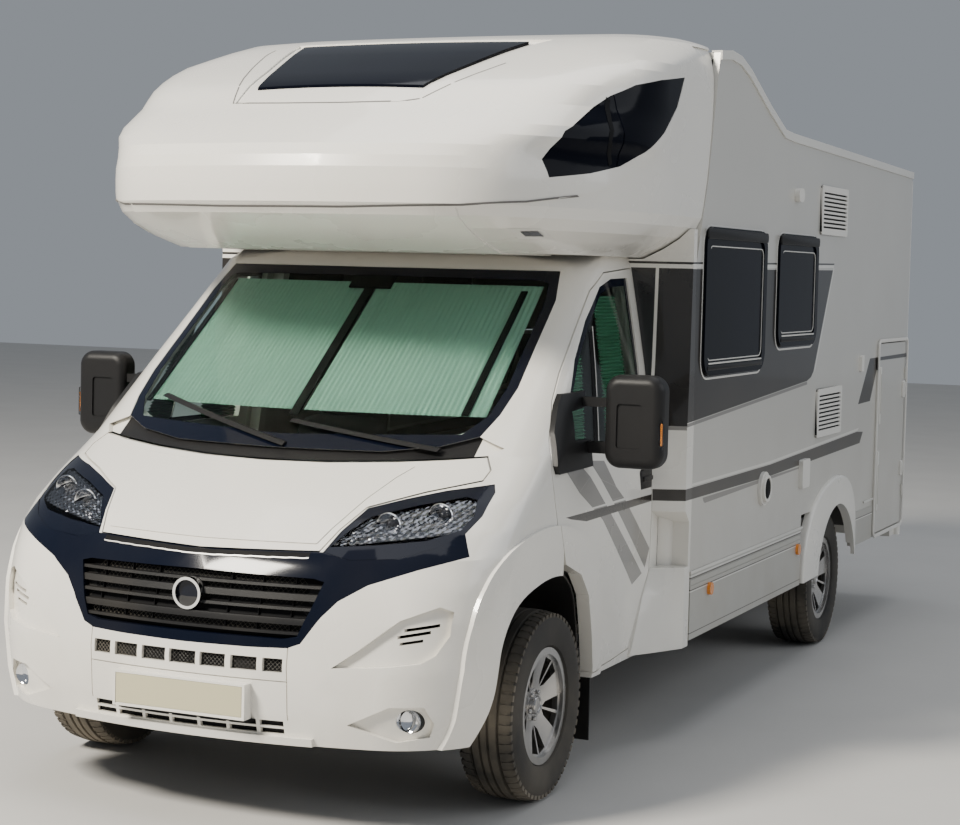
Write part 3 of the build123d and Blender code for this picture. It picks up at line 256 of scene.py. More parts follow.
def finish(name, slot, colour, roughness, metallic=0.0, coat=0.0, dust=0.0, span=(0.2, 1.3), ripple=(0.0, 300),
           transmission=0.0, ior=1.5, films=False, spots=(), mottle=0.06):
    """A finish and its slot. The span is the dust's heights, ripple is (strength, scale), films adds the
    side graphics, and each of the spots is (outlines, plane, colour)."""
    material = bpy.data.materials.new(name)
    FINISHES[name], SLOT_OF[name] = material, slot
    material.use_nodes = True
    tree = material.node_tree
    shader = tree.nodes["Principled BSDF"].inputs
    plain = {"Base Color": (*colour, 1), "Roughness": roughness, "Metallic": metallic, "Coat Weight": coat,
             "Coat Roughness": 0.06, "Transmission Weight": transmission, "IOR": ior}
    for label, value in plain.items():
        shader[label].default_value = value
    if transmission:
        return
    point = object_point(tree)
    cloud = add_node(tree, "TexNoise", {"Scale": 1.7, "Detail": 5.0, "Vector": point})
    below = tint_over(tree, (*colour, 1), cloud.outputs["Fac"], [c * (1 - 2 * mottle) for c in colour])
    if films:
        group = add_node(tree, "Group", {}, node_tree=SIDE_FILMS)
        for label, film_colour in FILM_COLOURS.items():
            below = tint_over(tree, below, group.outputs[label], film_colour)
    for outlines, plane, spot_colour in spots:
        below = tint_over(tree, below, union_mask(tree, point, outlines, plane), spot_colour)
    if dust:
        group = add_node(tree, "Group", {"Low": span[0], "High": span[1], "Amount": dust}, node_tree=ROAD_DUST)
        mask = group.outputs["Mask"]
        below = tint_over(tree, below, mask, DUST_COLOUR)
        dull = {"Value": mask, "To Min": roughness, "To Max": min(1.0, roughness + 0.45)}
        tree.links.new(add_node(tree, "MapRange", dull).outputs[0], shader["Roughness"])
    tree.links.new(below, shader["Base Color"])
    if ripple[0]:
        waves = add_node(tree, "Group", {"Strength": ripple[0], "Scale": ripple[1]}, node_tree=RIPPLE)
        tree.links.new(waves.outputs["Normal"], shader["Normal"])

# %% Bands and lines that some finishes carry, seen from the front or from the side
def stripe(a0, a1, z0, z1):
    return [(a0, z0), (a1, z0), (a1, z1), (a0, z1)]

def both_sides(x0, x1, z0, z1):
    return [stripe(side * x0, side * x1, z0, z1) for side, hand in HANDS]

LAMP_BANDS = [
    ([stripe(-1200, 1200, 900, 985)], "front", (0.85, 0.3, 0.03)),
    ([stripe(-1200, 1200, 668, 740)], "front", (0.72, 0.72, 0.7)),
]
SKIRT_LINES = [
    ([stripe(1200, 5600, low, high) for low, high in ((684, 690), (632, 637), (446, 450))],
     "side", (0.1, 0.095, 0.085)),
    ([stripe(1200, 5600, low, high) for low, high in ((690, 698), (626, 632))], "side", (0.86, 0.85, 0.81)),
]
FAIRING_SEAL = [
    (both_sides(1000, 1149, 1347, 2014), "front", FILM_COLOURS["Dark"]),
    (both_sides(1000, 1149, 1330, 1347), "front", FILM_COLOURS["Grey"]),
    (both_sides(860, 990, 985, 2014), "front", (0.012, 0.012, 0.014)),
    (both_sides(989, 1003, 1347, 2014), "front", FILM_COLOURS["Light"]),
    (both_sides(860, 1149, 2014, 2029), "front", FILM_COLOURS["Light"]),
    (both_sides(860, 1149, 2031, 2038), "front", FILM_COLOURS["Dark"]),
]

# %% The finishes
WHITE = (0.86, 0.835, 0.775)
PAINT = dict(coat=0.7, ripple=(0.03, 700), mottle=0.02)
MOULDED = dict(coat=0.5, ripple=(0.05, 260), mottle=0.02)
finish("cab_white", "white_paint", WHITE, 0.25, dust=0.2, **PAINT)
finish("door_white", "white_paint", WHITE, 0.25, dust=0.25, films=True, **PAINT)
finish("pod_white", "gel_coat", WHITE, 0.27, dust=0.12, span=(0.3, 2.4), **MOULDED)
finish("fairing_white", "gel_coat", WHITE, 0.27, dust=0.2, films=True, spots=FAIRING_SEAL, **MOULDED)
finish("wall_white", "side_sheet", (0.66, 0.645, 0.6), 0.3, metallic=0.25, coat=0.35, dust=0.25, span=(0.2, 1.4),
       ripple=(0.03, 120), films=True, mottle=0.04)
finish("black_trim", "black_plastic", (0.011, 0.011, 0.012), 0.42, ior=1.35, dust=0.08, ripple=(0.35, 900))
finish("seal_black", "rubber_black", (0.006, 0.006, 0.007), 0.6, ior=1.2, ripple=(0.2, 500))
finish("gloss_black", "gloss_black", (0.003, 0.005, 0.013), 0.1, coat=0.1, ior=1.3, dust=0.03)
finish("screen_glass", "screen_glass", (0.8, 0.9, 0.86), 0.0, transmission=1.0, ior=1.15)
finish("dark_acrylic", "dark_acrylic", (0.004, 0.005, 0.010), 0.1, ior=1.15, mottle=0.3)
finish("lamp_clear", "lamp_glass", (0.97, 0.98, 1.0), 0.0, transmission=1.0, ior=1.12)
finish("mirror_chrome", "trim_alloy", (0.86, 0.87, 0.89), 0.07, metallic=1.0, ripple=(0.3, 90))
finish("lamp_dark", "gloss_black", (0.03, 0.032, 0.04), 0.25, coat=0.5)
finish("lamp_bright", "trim_alloy", (0.42, 0.43, 0.46), 0.1, metallic=1.0, ripple=(0.6, 140), mottle=0.4)
# the blind green darkened as painted shade, for the blinds behind the door panes
finish("blind_shade", "blind_fabric", (0.09, 0.3, 0.17), 0.8, ripple=(0.4, 1500), mottle=0.2)
finish("mesh_black", "black_plastic", (0.045, 0.042, 0.036), 0.45, dust=0.5, ripple=(0.3, 800))
finish("blind_green", "blind_fabric", (0.4, 0.66, 0.53), 0.8, ripple=(0.4, 1500), mottle=0.04)
finish("alloy", "alloy_wheel", (0.6, 0.59, 0.58), 0.24, metallic=1.0, coat=0.4, dust=0.3, span=(0.0, 0.9),
       ripple=(0.04, 300))
finish("alloy_dark", "dark_iron", (0.09, 0.088, 0.085), 0.5, metallic=0.8, dust=0.4, span=(0.0, 0.9),
       ripple=(0.1, 300))
finish("tyre_rubber", "tyre_rubber", (0.020, 0.019, 0.018), 0.72, dust=0.3, span=(0.0, 0.8), ripple=(0.5, 420))
finish("tread_rubber", "tyre_rubber", (0.030, 0.028, 0.025), 0.85, dust=0.8, span=(0.0, 1.0), ripple=(0.6, 300))
finish("underbody", None, (0.028, 0.027, 0.026), 0.8, dust=0.6, ripple=(0.5, 90))
finish("cabin_grey", "grey_plastic", (0.06, 0.06, 0.066), 0.7, ripple=(0.4, 600))
finish("seat_cloth", "seat_fabric", (0.12, 0.12, 0.13), 0.95, ripple=(0.9, 900))
finish("skirt_alloy", None, (0.58, 0.57, 0.53), 0.36, metallic=0.45, dust=0.45, span=(0.2, 0.8), ripple=(0.05, 300),
       spots=SKIRT_LINES)
finish("edge_alloy", "trim_alloy", (0.8, 0.785, 0.74), 0.35, metallic=0.2, dust=0.12, span=(0.2, 2.5),
       ripple=(0.03, 300))
finish("vent_white", "white_plastic", (0.8, 0.78, 0.73), 0.38, dust=0.08, ripple=(0.12, 500))
finish("amber", "amber_lens", (0.85, 0.27, 0.02), 0.15, coat=0.7, ripple=(0.5, 160))
finish("red_lens", None, (0.45, 0.012, 0.010), 0.12, coat=0.8, ripple=(0.4, 160), spots=LAMP_BANDS)
finish("bare_plate", "white_plastic", (0.6, 0.56, 0.37), 0.45, coat=0.1, dust=0.12, ripple=(0.05, 300))
finish("board_grey", "grey_board", (0.16, 0.155, 0.15), 0.85, dust=0.4, ripple=(0.3, 200))
finish("studio_white", None, (0.56, 0.55, 0.53), 0.85, ripple=(0.02, 40))
studio_floor.data.materials.append(FINISHES["studio_white"])
print("finishes", len(bpy.data.materials))

# %% [markdown]
# ## Smooth panels
# The frame's solids come in as loose triangles, so each facet of a curved panel would show. A
# copy is merged into one skin, and its edges are shaded smooth where neighbouring facets nearly
# agree. Folds and shut lines stay sharp. The copy then stands for its node.

# %% Tools for pieces
WELD = 0.00005                   # corners nearer than this become one, metres

def at(x, y, z):
    """A place in millimetres from the front axle, as metres in the row's frame."""
    return Vector((x / 1000, y / 1000 + AXLE, z / 1000))

def blend(a, b, share):
    return a * (1 - share) + b * share

def face_out(bm):
    bmesh.ops.recalc_face_normals(bm, faces=bm.faces)
    return bm

def mirrored(bm):
    """The same form on the vehicle's other side."""
    bmesh.ops.scale(bm, vec=(-1, 1, 1), verts=bm.verts)
    return face_out(bm)

def turned_by(bm, degrees, axis, verts=None):
    """Turns a form, or some of its corners, about an axis through the origin."""
    turn = Matrix.Rotation(math.radians(degrees), 3, axis)
    bmesh.ops.rotate(bm, cent=(0, 0, 0), matrix=turn, verts=verts or bm.verts)
    return bm

def moved(bm, way, verts=None):
    bmesh.ops.translate(bm, vec=way, verts=verts or bm.verts)
    return bm

def two_tone(bm, second):
    """Gives the second finish to the faces whose middle passes a test."""
    for face in bm.faces:
        face.material_index = int(second(face.calc_center_median()))
    return bm

def merged(name):
    """A node's triangles as one skin."""
    bm = bmesh.new()
    bm.from_mesh(nodes[name].data)
    bmesh.ops.remove_doubles(bm, verts=bm.verts, dist=WELD)
    return bm

def joined(parts):
    """Several bmeshes as one."""
    whole = bmesh.new()
    for part in parts:
        mesh = bpy.data.meshes.new("part")
        part.to_mesh(mesh)
        part.free()
        whole.from_mesh(mesh)
        bpy.data.meshes.remove(mesh)
    return whole

def tree_of(*names):
    """Nodes as one tree that a line can be cast against."""
    return BVHTree.FromBMesh(joined([merged(name) for name in names]))

def front_spot(tree, x, z, depth):
    """A place behind a front panel's face; in millimetres."""
    spot = tree.ray_cast(Vector((x / 1000, -6, z / 1000)), FORWARD)[0]
    return spot + Vector((0, depth / 1000, 0)) if spot else at(x, -600 + depth, z)

def laid_sheet(columns, rows, place, thick=0.0):
    """A grid laid by a function of its two shares, each 0 to 1, and thickened where asked; metres."""
    bm = bmesh.new()
    bmesh.ops.create_grid(bm, x_segments=columns, y_segments=rows, size=0.5)
    for vert in bm.verts:
        vert.co = place(vert.co.x + 0.5, vert.co.y + 0.5)
    face_out(bm)
    if thick:
        bmesh.ops.solidify(bm, geom=bm.faces[:], thickness=thick)
    return bm

def keep_piece(bm, name, finishes, smooth=30, replaces=(), body="vehicle"):
    """Turns a bmesh into a piece of one or more finishes that rides on a body."""
    finishes = [finishes] if isinstance(finishes, str) else finishes
    limit, open_edge = math.radians(smooth), 9.0
    for face in bm.faces:
        face.smooth = True
    for edge in bm.edges:
        edge.smooth = len(edge.link_faces) == 2 and edge.calc_face_angle(open_edge) < limit
    mesh = bpy.data.meshes.new(name)
    bm.to_mesh(mesh)
    bm.free()
    for finish_name in finishes:
        mesh.materials.append(FINISHES[finish_name])
    piece = bpy.data.objects.new(name, mesh)
    link_object(piece)
    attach(piece, body)
    for node in replaces:
        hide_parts(node)
    return piece

# %% The smooth panels
PANEL_SMOOTH = 24                # degrees up to which neighbouring facets count as one surface
PANELS = {
    "cab_white": ["cab_shell", "front_wings", "bonnet", "front_bumper"],
    "door_white": ["cab_door_left", "cab_door_right"],
    "pod_white": ["alcove", "rear_wall", "wheel_arches", "rear_bumper"],
    "fairing_white": ["cab_fairings"],
    "gloss_black": ["grille_surround"],
    "black_trim": ["mirror_left", "mirror_right", "wipers", "arch_liners"],
    "dark_acrylic": ["alcove_windows", "skylight"],
}
SHARPER = {"alcove": 9, "bonnet": 14, "front_bumper": 12, "front_wings": 14, "cab_fairings": 14}
for material, names in PANELS.items():
    for name in names:
        smooth = SHARPER.get(name, PANEL_SMOOTH)
        keep_piece(merged(name), name + "_skin", material, smooth, [name], nodes[name]["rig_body"])
print("smooth panels", sum(len(names) for names in PANELS.values()))

# %% [markdown]
# The cowl under the windscreen is black plastic with painted ends, and the refrigerator vents are
# white with dark slots. Both are one panel each whose faces are sorted between two finishes.

# %% Two panels of two finishes
PAINTED_END = 0.775              # the cowl is painted beyond this distance from the middle, metres
SLOT_FLOOR = 1.154               # distance of the vent slots' floors from the middle, metres

cowl = merged("cowl")
for side, hand in HANDS:
    whole = cowl.verts[:] + cowl.edges[:] + cowl.faces[:]
    bmesh.ops.bisect_plane(cowl, geom=whole, plane_co=(side * PAINTED_END, 0, 0), plane_no=(1, 0, 0))
two_tone(cowl, lambda centre: abs(centre.x) > PAINTED_END)
keep_piece(cowl, "cowl_skin", ["black_trim", "cab_white"], PANEL_SMOOTH, ["cowl"])
vents = two_tone(merged("fridge_vents"), lambda centre: abs(abs(centre.x) - SLOT_FLOOR) < 0.0006)
keep_piece(vents, "vent_grids", ["vent_white", "seal_black"], PANEL_SMOOTH, ["fridge_vents"])
print("cowl and vents")

# %% [markdown]
# ## Windscreen and its blinds
# The screen is one curved pane with a black printed border. The copy of the pane is cut along the
# border's inner outline, and the faces outside it get the black finish. Behind it hang two
# pleated blinds. Each is one grid whose columns swing in and out, laid along the pane's back.

# %% Screen border
PANE = ["screen_glass", "gloss_black"]

def cut_outline(bm, spots, view, near=lambda centre: True):
    """Cuts along a convex outline seen in a direction; returns each side's point and outward normal."""
    middle = sum(spots, Vector()) / len(spots)
    cuts = []
    for p, q in zip(spots, spots[1:] + spots[:1]):
        normal = (q - p).cross(view).normalized()
        if (middle - p).dot(normal) > 0:
            normal = -normal
        cuts.append((p, normal))
        close = {face for face in bm.faces if near(face.calc_center_median())}
        parts = [part for kind in (bm.verts, bm.edges) for part in kind if not close.isdisjoint(part.link_faces)]
        parts += [face for face in bm.faces if face in close]
        bmesh.ops.bisect_plane(bm, geom=parts, plane_co=p, plane_no=normal, dist=1e-6)
    return cuts

def within(centre, cuts):
    return all((centre - p).dot(normal) < 1e-5 for p, normal in cuts)

def bordered_pane(node, inner, plane, name):
    """A copy of a pane whose faces outside a convex inner outline get the second material."""
    bm = merged(node)
    spots = [at(a, 0, z) if plane == "front" else at(0, a, z) for a, z in inner]
    cuts = cut_outline(bm, spots, FORWARD if plane == "front" else Vector((1, 0, 0)))
    two_tone(bm, lambda centre: not within(centre, cuts))
    keep_piece(bm, name, PANE, PANEL_SMOOTH, [node], nodes[node]["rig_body"])

SCREEN_INNER = [(-700, 1372), (0, 1348), (700, 1372), (762, 1440), (778, 1541), (768, 1700), (757, 1873),
                (738, 1938), (700, 1950), (0, 1955), (-700, 1950), (-738, 1938), (-757, 1873), (-768, 1700),
                (-778, 1541), (-762, 1440)]
bordered_pane("windscreen", SCREEN_INNER, "front", "windscreen_pane")

# %% Pleated blinds and rails
PLEAT = 6                        # how far a pleat swings to each side, millimetres
screen_tree = tree_of("windscreen")

def behind_screen(x, z, depth):
    return front_spot(screen_tree, x, z, 22 + depth)

def pleated_blind(name, left, right, low, high, pleats, surface, depth, body, replaces=(), across=False,
                  material="blind_green"):
    """A pleated sheet between two side lines (bottom and top value of each), laid on a surface."""
    def place(u, v):
        swing = PLEAT * math.cos(2 * math.pi * pleats * (v if across else u))
        return surface(blend(blend(*left, v), blend(*right, v), u), blend(low, high, v), depth + swing)
    bm = laid_sheet(8, pleats * 4, place) if across else laid_sheet(pleats * 4, 10, place)
    area = sum(face.calc_area() for face in bm.faces)
    length = (surface(left[0], low, 0) - surface(left[1], high, 0)).length
    sheet = keep_piece(bm, name, material, 80, replaces, body)

def rail(name, body, material, surface, grid, a_low, a_high, low, high, width, depth, thick):
    """A flat rail that runs up along a surface."""
    def place(u, v):
        return surface(blend(a_low, a_high, v) + (u - 0.5) * width, blend(low, high, v), depth)
    keep_piece(laid_sheet(*grid, place, thick), name, material, body=body)

for hand, left, right in (("left", (22, 22), (742, 712)), ("right", (-742, -712), (-22, -22))):
    pleated_blind("screen_blind_" + hand, left, right, 1432, 1925, 33, behind_screen, 12, "vehicle",
                  ["windscreen_blind"])
for name, x_low, x_high, low, high, width, depth in (
        ("blind_rail_middle", 0, 0, 1415, 1935, 38, -6), ("blind_rail_left", 668, 655, 1440, 1905, 26, -6),
        ("blind_rail_right", -742, -712, 1430, 1925, 22, -6), ("screen_mirror_foot", 0, 0, 1905, 1962, 190, -10)):
    rail(name, "vehicle", "seal_black", behind_screen, (2, 12), x_low, x_high, low, high, width, depth, 0.008)

# %% [markdown]
# ## Door glass
# Each door pane has black edges, a leaning divider with a light trim, and pleated blinds inside,
# whose green is darkened as painted shade.

# %% Door panes
DOOR_INNER = [(225, 1312), (262, 1465), (404, 1625), (578, 1772), (762, 1898), (892, 1928), (1068, 1934), (1052, 1312)]
door_tree = tree_of("door_glass_left")

def beside_door(side):
    def place(y, z, depth):
        """The depth runs inwards from the pane."""
        spot = door_tree.ray_cast(at(2000, y, z), Vector((-1, 0, 0)))[0]
        return at(side * ((spot.x * 1000 if spot else 930) - depth), y, z)
    return place

for side, hand in HANDS:
    door, place = "door_" + hand, beside_door(side)
    bordered_pane("door_glass_" + hand, DOOR_INNER, "side", "door_pane_" + hand)
    rail("door_divider_" + hand, door, "seal_black", place, (1, 10), 492, 590, 1300, 1752, 40, -1, 0.003)
    rail("door_divider_trim_" + hand, door, "edge_alloy", place, (1, 10), 522, 618, 1300, 1772, 7, -1.5, 0.003)
    for label, front, rear, high, pleats in (("front_", (250, 470), (455, 540), 1700, 30),
                                             ("rear_", (700, 760), (1000, 1010), 1890, 42)):
        # the door blinds take the darker green: painted shade
        pleated_blind("door_blind_" + label + hand, front, rear, 1305, high, pleats, place, 35, door,
                      across=True, material="blind_shade")
print("door panes dressed")

# %% [markdown]
# ## Small bevelled forms
# Much of the trim is a block with rounded edges, a rounded plate, a ring or a turned form.

# %% Block, plate, ring and turned form
def rounded(bm, edges, offset, segments=2, affect="EDGES"):
    bmesh.ops.bevel(bm, geom=edges, offset=offset / 1000, segments=segments, profile=0.5, affect=affect, material=-1)

def block(x0, x1, y0, y1, z0, z1, bevel, segments=2):
    """A block with rounded edges; sides in millimetres from the front axle."""
    bm = bmesh.new()
    bmesh.ops.create_cube(bm, size=1.0)
    low, high = at(min(x0, x1), y0, z0), at(max(x0, x1), y1, z1)
    bmesh.ops.scale(bm, vec=high - low, verts=bm.verts)
    moved(bm, (low + high) / 2)
    rounded(bm, bm.edges[:], bevel, segments)
    return bm

def side_plate(side, y0, y1, z0, z1, radius, x0, x1, ring, bevel):
    """A rounded plate on a side wall, or a ring where a ring width is given."""
    bm = bmesh.new()
    bmesh.ops.create_grid(bm, x_segments=1, y_segments=1, size=0.5)
    bmesh.ops.scale(bm, vec=((y1 - y0) / 1000, (z1 - z0) / 1000, 1), verts=bm.verts)
    if radius:
        rounded(bm, bm.verts[:], radius, 6, "VERTICES")
    upright = Matrix(((0, 0, 1, 0), (1, 0, 0, 0), (0, 1, 0, 0), (0, 0, 0, 1)))
    bmesh.ops.transform(bm, matrix=upright, verts=bm.verts)
    if ring:
        inner = bm.faces[:]
        bmesh.ops.inset_region(bm, faces=inner, thickness=ring / 1000, use_even_offset=True, use_boundary=True)
        bmesh.ops.delete(bm, geom=inner, context="FACES")
    grown = bmesh.ops.extrude_face_region(bm, geom=bm.faces[:])
    tops = [v for v in grown["geom"] if isinstance(v, bmesh.types.BMVert)]
    moved(bm, ((x1 - x0) / 1000, 0, 0), tops)
    face_out(bm)
    rounded(bm, [e for e in bm.edges if e.calc_face_angle(0) > 1.0], bevel)
    moved(bm, at(x0, (y0 + y1) / 2, (z0 + z1) / 2))
    return bm if side > 0 else mirrored(bm)

def side_trim(name, material, side, *plates, body="vehicle"):
    """One piece of plates and rings; each is given by y0, y1, z0, z1, radius, x0, x1, ring, bevel."""
    keep_piece(joined([side_plate(side, *plate) for plate in plates]), name, material, 30, body=body)

def turned(profile, steps=48):
    """A form turned round the X axis at the origin; profile is (x, radius) in millimetres."""
    bm = bmesh.new()
    verts = [bm.verts.new((x / 1000, 0, r / 1000)) for x, r in profile]
    edges = [bm.edges.new(pair) for pair in zip(verts, verts[1:])]
    bmesh.ops.spin(bm, geom=verts + edges, cent=(0, 0, 0), axis=(1, 0, 0), angle=2 * math.pi,
                   steps=steps, use_merge=True)
    bmesh.ops.remove_doubles(bm, verts=bm.verts, dist=0.00002)
    return face_out(bm)

def turned_forward(profile, steps, place):
    """A turned form that looks forward from its place."""
    return moved(turned_by(turned(profile, steps), -90, "Z"), place)

# %% [markdown]
# ## Headlamps
# The lens is clear inside a black frame. Behind it sits a dimpled bright bowl with two round
# lamps, each a bright ring, a deep dish and a dome.

# %% Headlamp lens, bowl and lamps
CLEAR = [(480, 1005), (518, 1055), (565, 1103), (696, 1142), (843, 1174), (882, 1165), (899, 1115), (885, 1072),
         (799, 1038), (643, 1018)]

LENS_LOW = 0.7                   # the fog lamps lie below this height, metres
lens = merged("headlamps")
outlines = []
for side, hand in HANDS:
    spots = [at(side * x, 0, z) for x, z in CLEAR]
    outlines.append(cut_outline(lens, spots, FORWARD, lambda centre: centre.x * side > 0 and centre.z > LENS_LOW))
two_tone(lens, lambda centre: centre.z >= LENS_LOW and not any(within(centre, cuts) for cuts in outlines))
keep_piece(lens, "headlamp_lenses", ["lamp_clear", "gloss_black"], PANEL_SMOOTH, ["headlamps"])
lamp_tree = tree_of("headlamps")

def lamp_bowl(side):
    """A bright dimpled sheet that follows the lens a little way behind it."""
    def place(u, v):
        z = blend(1000 + 62 * u, 1040 + 150 * u ** 0.6, v)
        return front_spot(lamp_tree, side * (475 + 425 * u), z, 26 + 7 * math.cos(u * 97) * math.cos(v * 41))
    return laid_sheet(44, 18, place)

DISH = [(0, 2), (2, 20), (9, 33), (22, 43), (24, 46), (21, 49), (18, 49)]
DOME = [(16, 0.1), (15, 8), (11, 15), (4, 19), (0, 20)]
FOG_DISH = [(0, 1), (3, 22), (10, 36), (12, 39)]
for side, hand in HANDS:
    keep_piece(lamp_bowl(side), "lamp_bowl_" + hand, "lamp_bright", 8)
    spots = [front_spot(lamp_tree, side * x, z, 34) for x, z in ((640, 1076), (795, 1110))]
    for label, profile, steps, material in (("dishes", DISH, 32, "mirror_chrome"), ("domes", DOME, 24, "lamp_dark")):
        pair = joined([turned_forward(profile, steps, spot) for spot in spots])
        keep_piece(pair, "lamp_" + label + "_" + hand, material, 50)
    fog = turned_forward(FOG_DISH, 32, front_spot(lamp_tree, side * 809, 425, 14))
    keep_piece(fog, "fog_dish_" + hand, "mirror_chrome", 50)
print("headlamps", [round(v, 3) for v in front_spot(lamp_tree, 640, 1076, 0)])

# %% [markdown]
# ## Grille
# The slats are solids already. Behind them lies a diamond wire mesh with thin upright ribs, the
# round boss gets a bright ring round its bare face, and the bumper's slots are backed in black.

# %% Sheets that follow a front panel
bars_tree, bumper_tree, surround_tree = tree_of("grille_bars"), tree_of("front_bumper"), tree_of("grille_surround")

def depth_between(tree, low, high, depth):
    """A place behind a panel: its depth is read below and above an opening and blended."""
    def place(x, z):
        y = blend(front_spot(tree, x, low, 0).y, front_spot(tree, x, high, 0).y, (z - low) / (high - low))
        return Vector((x / 1000, y + depth / 1000, z / 1000))
    return place

def front_sheet(x0, x1, z0, z1, place, columns=24, rows=1, thick=0.0):
    return laid_sheet(columns, rows, lambda u, v: place(x0 + (x1 - x0) * u, z0 + (z1 - z0) * v), thick)

def wire_mesh(x0, x1, z0, z1, place, pitch):
    """Diamond wire between limits: a grid turned by an eighth of a turn, cut and thickened."""
    bm = bmesh.new()
    reach = (x1 - x0) + (z1 - z0)
    count = int(reach / pitch)
    bmesh.ops.create_grid(bm, x_segments=count, y_segments=count, size=reach / 2)
    moved(turned_by(bm, 45, "Z"), ((x0 + x1) / 2, (z0 + z1) / 2, 0))
    middles = [(face, face.calc_center_median()) for face in bm.faces]
    outside = [face for face, p in middles if not (x0 < p.x < x1 and z0 < p.y < z1)]
    bmesh.ops.delete(bm, geom=outside, context="FACES")
    for vert in bm.verts:
        vert.co = place(vert.co.x, vert.co.y)
    face_out(bm)
    bmesh.ops.wireframe(bm, faces=bm.faces[:], thickness=0.0016, use_replace=True, use_boundary=True,
                        use_even_offset=True)
    return bm

# %% Mesh behind the slats and in the bumper's slots
behind_slats = depth_between(bars_tree, 736, 881, -2)
sheets = [front_sheet(-reach, reach, low + 3, high - 3, depth_between(bumper_tree, low - 3, high + 3, 14))
          for low, high, reach in ((574, 630, 392), (354, 381, 390), (381, 409, 390))]
wires = [wire_mesh(-425, 425, 716, 892, behind_slats, 13),
         wire_mesh(-388, 388, 578, 626, depth_between(bumper_tree, 571, 633, 12), 11)]
keep_piece(joined(sheets), "slot_backs", "seal_black")
keep_piece(joined(wires), "front_wire", "mesh_black", 60)

# %% Ribs, boss and slats
BOSS_RING = [(0, 47), (-6, 47), (-9, 50), (-9, 54), (-5, 57), (14, 57), (14, 47), (0, 47)]
BOSS_FACE = [(-2, 0.1), (-3, 30), (-2, 47), (8, 47)]
ribs = []
for x in (-392, -270, -150, 150, 270, 392):
    for low, high in ((716, 752), (756, 795), (799, 834), (838, 870), (874, 902)):
        y = (behind_slats(x, (low + high) / 2).y - AXLE) * 1000
        ribs.append(block(x - 2, x + 2, y - 12, y + 1, low, high, 0.8, 1))
keep_piece(joined(ribs), "grille_ribs", "seal_black")
boss = front_spot(bars_tree, 0, 824, -7)
keep_piece(turned_forward(BOSS_RING, 64, boss), "grille_ring", "mirror_chrome", 40)
keep_piece(turned_forward(BOSS_FACE, 48, boss), "grille_boss_face", "gloss_black", 50)

def deep_painted_shade(centre):
    """The low bars and the backs of the slats get the darker finish: painted shade in the gaps and slots."""
    return centre.z < 0.7 or centre.y > behind_slats(centre.x * 1000, centre.z * 1000).y - 0.009

# faces deep behind the slat fronts take the darker black as painted shade
slats = two_tone(merged("grille_bars"), deep_painted_shade)
keep_piece(slats, "grille_slats", ["black_trim", "seal_black"], PANEL_SMOOTH, ["grille_bars"])
print("grille boss at", [round(v, 3) for v in boss])

# %% [markdown]
# The bonnet ends a little above the grille. A black strip stands in for the gap under its edge,
# its black being painted shade, and a thin light strip below it on the surround is a painted
# reflection line. Both follow the bonnet's edge, whose height is found by lines cast at the bonnet
# from the front.

# %% The painted shade under the bonnet, a painted reflection line, and the bare number plate
bonnet_tree = tree_of("bonnet")

def bonnet_edge(x):
    """Height of the bonnet's lower edge, seen from the front."""
    heights = range(930, 1040, 2)
    return next((z for z in heights if bonnet_tree.ray_cast(Vector((x / 1000, -6, z / 1000)), FORWARD)[0]), 1040)

def under_bonnet(low, high, proud, name, material):
    def place(x, v):
        return front_spot(surround_tree, x, bonnet_edge(x) + low + (high - low) * v, -proud)
    keep_piece(front_sheet(-424, 424, 0, 1, place, 40, 3, proud * 0.0008), name, material, 40)

# a black strip for the gap under the bonnet's edge; its black is painted shade
under_bonnet(-21, -1, 1.2, "bonnet_gap_painted_shade", "seal_black")
# a light strip on the surround's top: a painted reflection line
under_bonnet(-27, -23, 3.0, "surround_painted_reflection", "edge_alloy")
plate_y = (front_spot(bumper_tree, 0, 470, 0).y - AXLE) * 1000
keep_piece(block(-258, 258, plate_y - 3, plate_y + 1, 418, 524, 1.2, 1), "front_plate", "bare_plate")
print("plate at y", round(plate_y))

# %% [markdown]
# ## Wheels
# The tyre is turned from a profile with grooves round it, and the shoulder blocks are one small
# block repeated round the axle. The cast wheel is the solid itself, merged and shaded smooth,
# with a bright lip, a ringed cap, sunk bolts and a brake disc behind the spokes.

# %% Tyre
HALF_TREAD = [(-84, 206), (-86.5, 221), (-103, 228), (-107, 240), (-110, 262), (-112.4, 285), (-112.4, 300),
              (-110, 322), (-104, 336), (-98, 341), (-86, 350), (-58, 351), (-56, 342), (-50, 342), (-48, 357),
              (-22, 358), (-20, 347), (-12, 347), (-10, 358)]
TREAD = HALF_TREAD + [(-x, r) for x, r in reversed(HALF_TREAD)] + HALF_TREAD[:1]
BLOCK_COUNT = 60
BLOCK_STEP = 360 / BLOCK_COUNT   # degrees

def tyre_pieces(name, body, centre):
    """Carcass and shoulder blocks of one tyre."""
    bm = two_tone(turned(TREAD, 96), lambda middle: math.hypot(middle.y, middle.z) > 0.341)
    keep_piece(moved(bm, centre), name + "_carcass", ["tyre_rubber", "tread_rubber"], 40, [name], body)
    blocks = bmesh.new()
    for side, start in ((-1, 0.0), (1, 0.5)):
        made = bmesh.ops.create_cube(blocks, size=1.0)["verts"]
        bmesh.ops.scale(blocks, vec=(0.041, 0.023, 0.020), verts=made)
        for vert in made:
            if vert.co.x * side > 0:
                vert.co.z -= 0.008 if vert.co.z > 0 else 0.012
                vert.co.x += side * 0.004
        moved(blocks, (side * 0.081, 0, 0.3455), made)
        turned_by(blocks, start * BLOCK_STEP, "X", made)
        shape = list({f for v in made for f in v.link_faces}) + list({e for v in made for e in v.link_edges}) + made
        bmesh.ops.spin(blocks, geom=shape, cent=(0, 0, 0), axis=(1, 0, 0), use_duplicate=True,
                       angle=math.radians(BLOCK_STEP) * (BLOCK_COUNT - 1), steps=BLOCK_COUNT - 1)
    keep_piece(moved(face_out(blocks), centre), name + "_blocks", "tread_rubber", body=body)

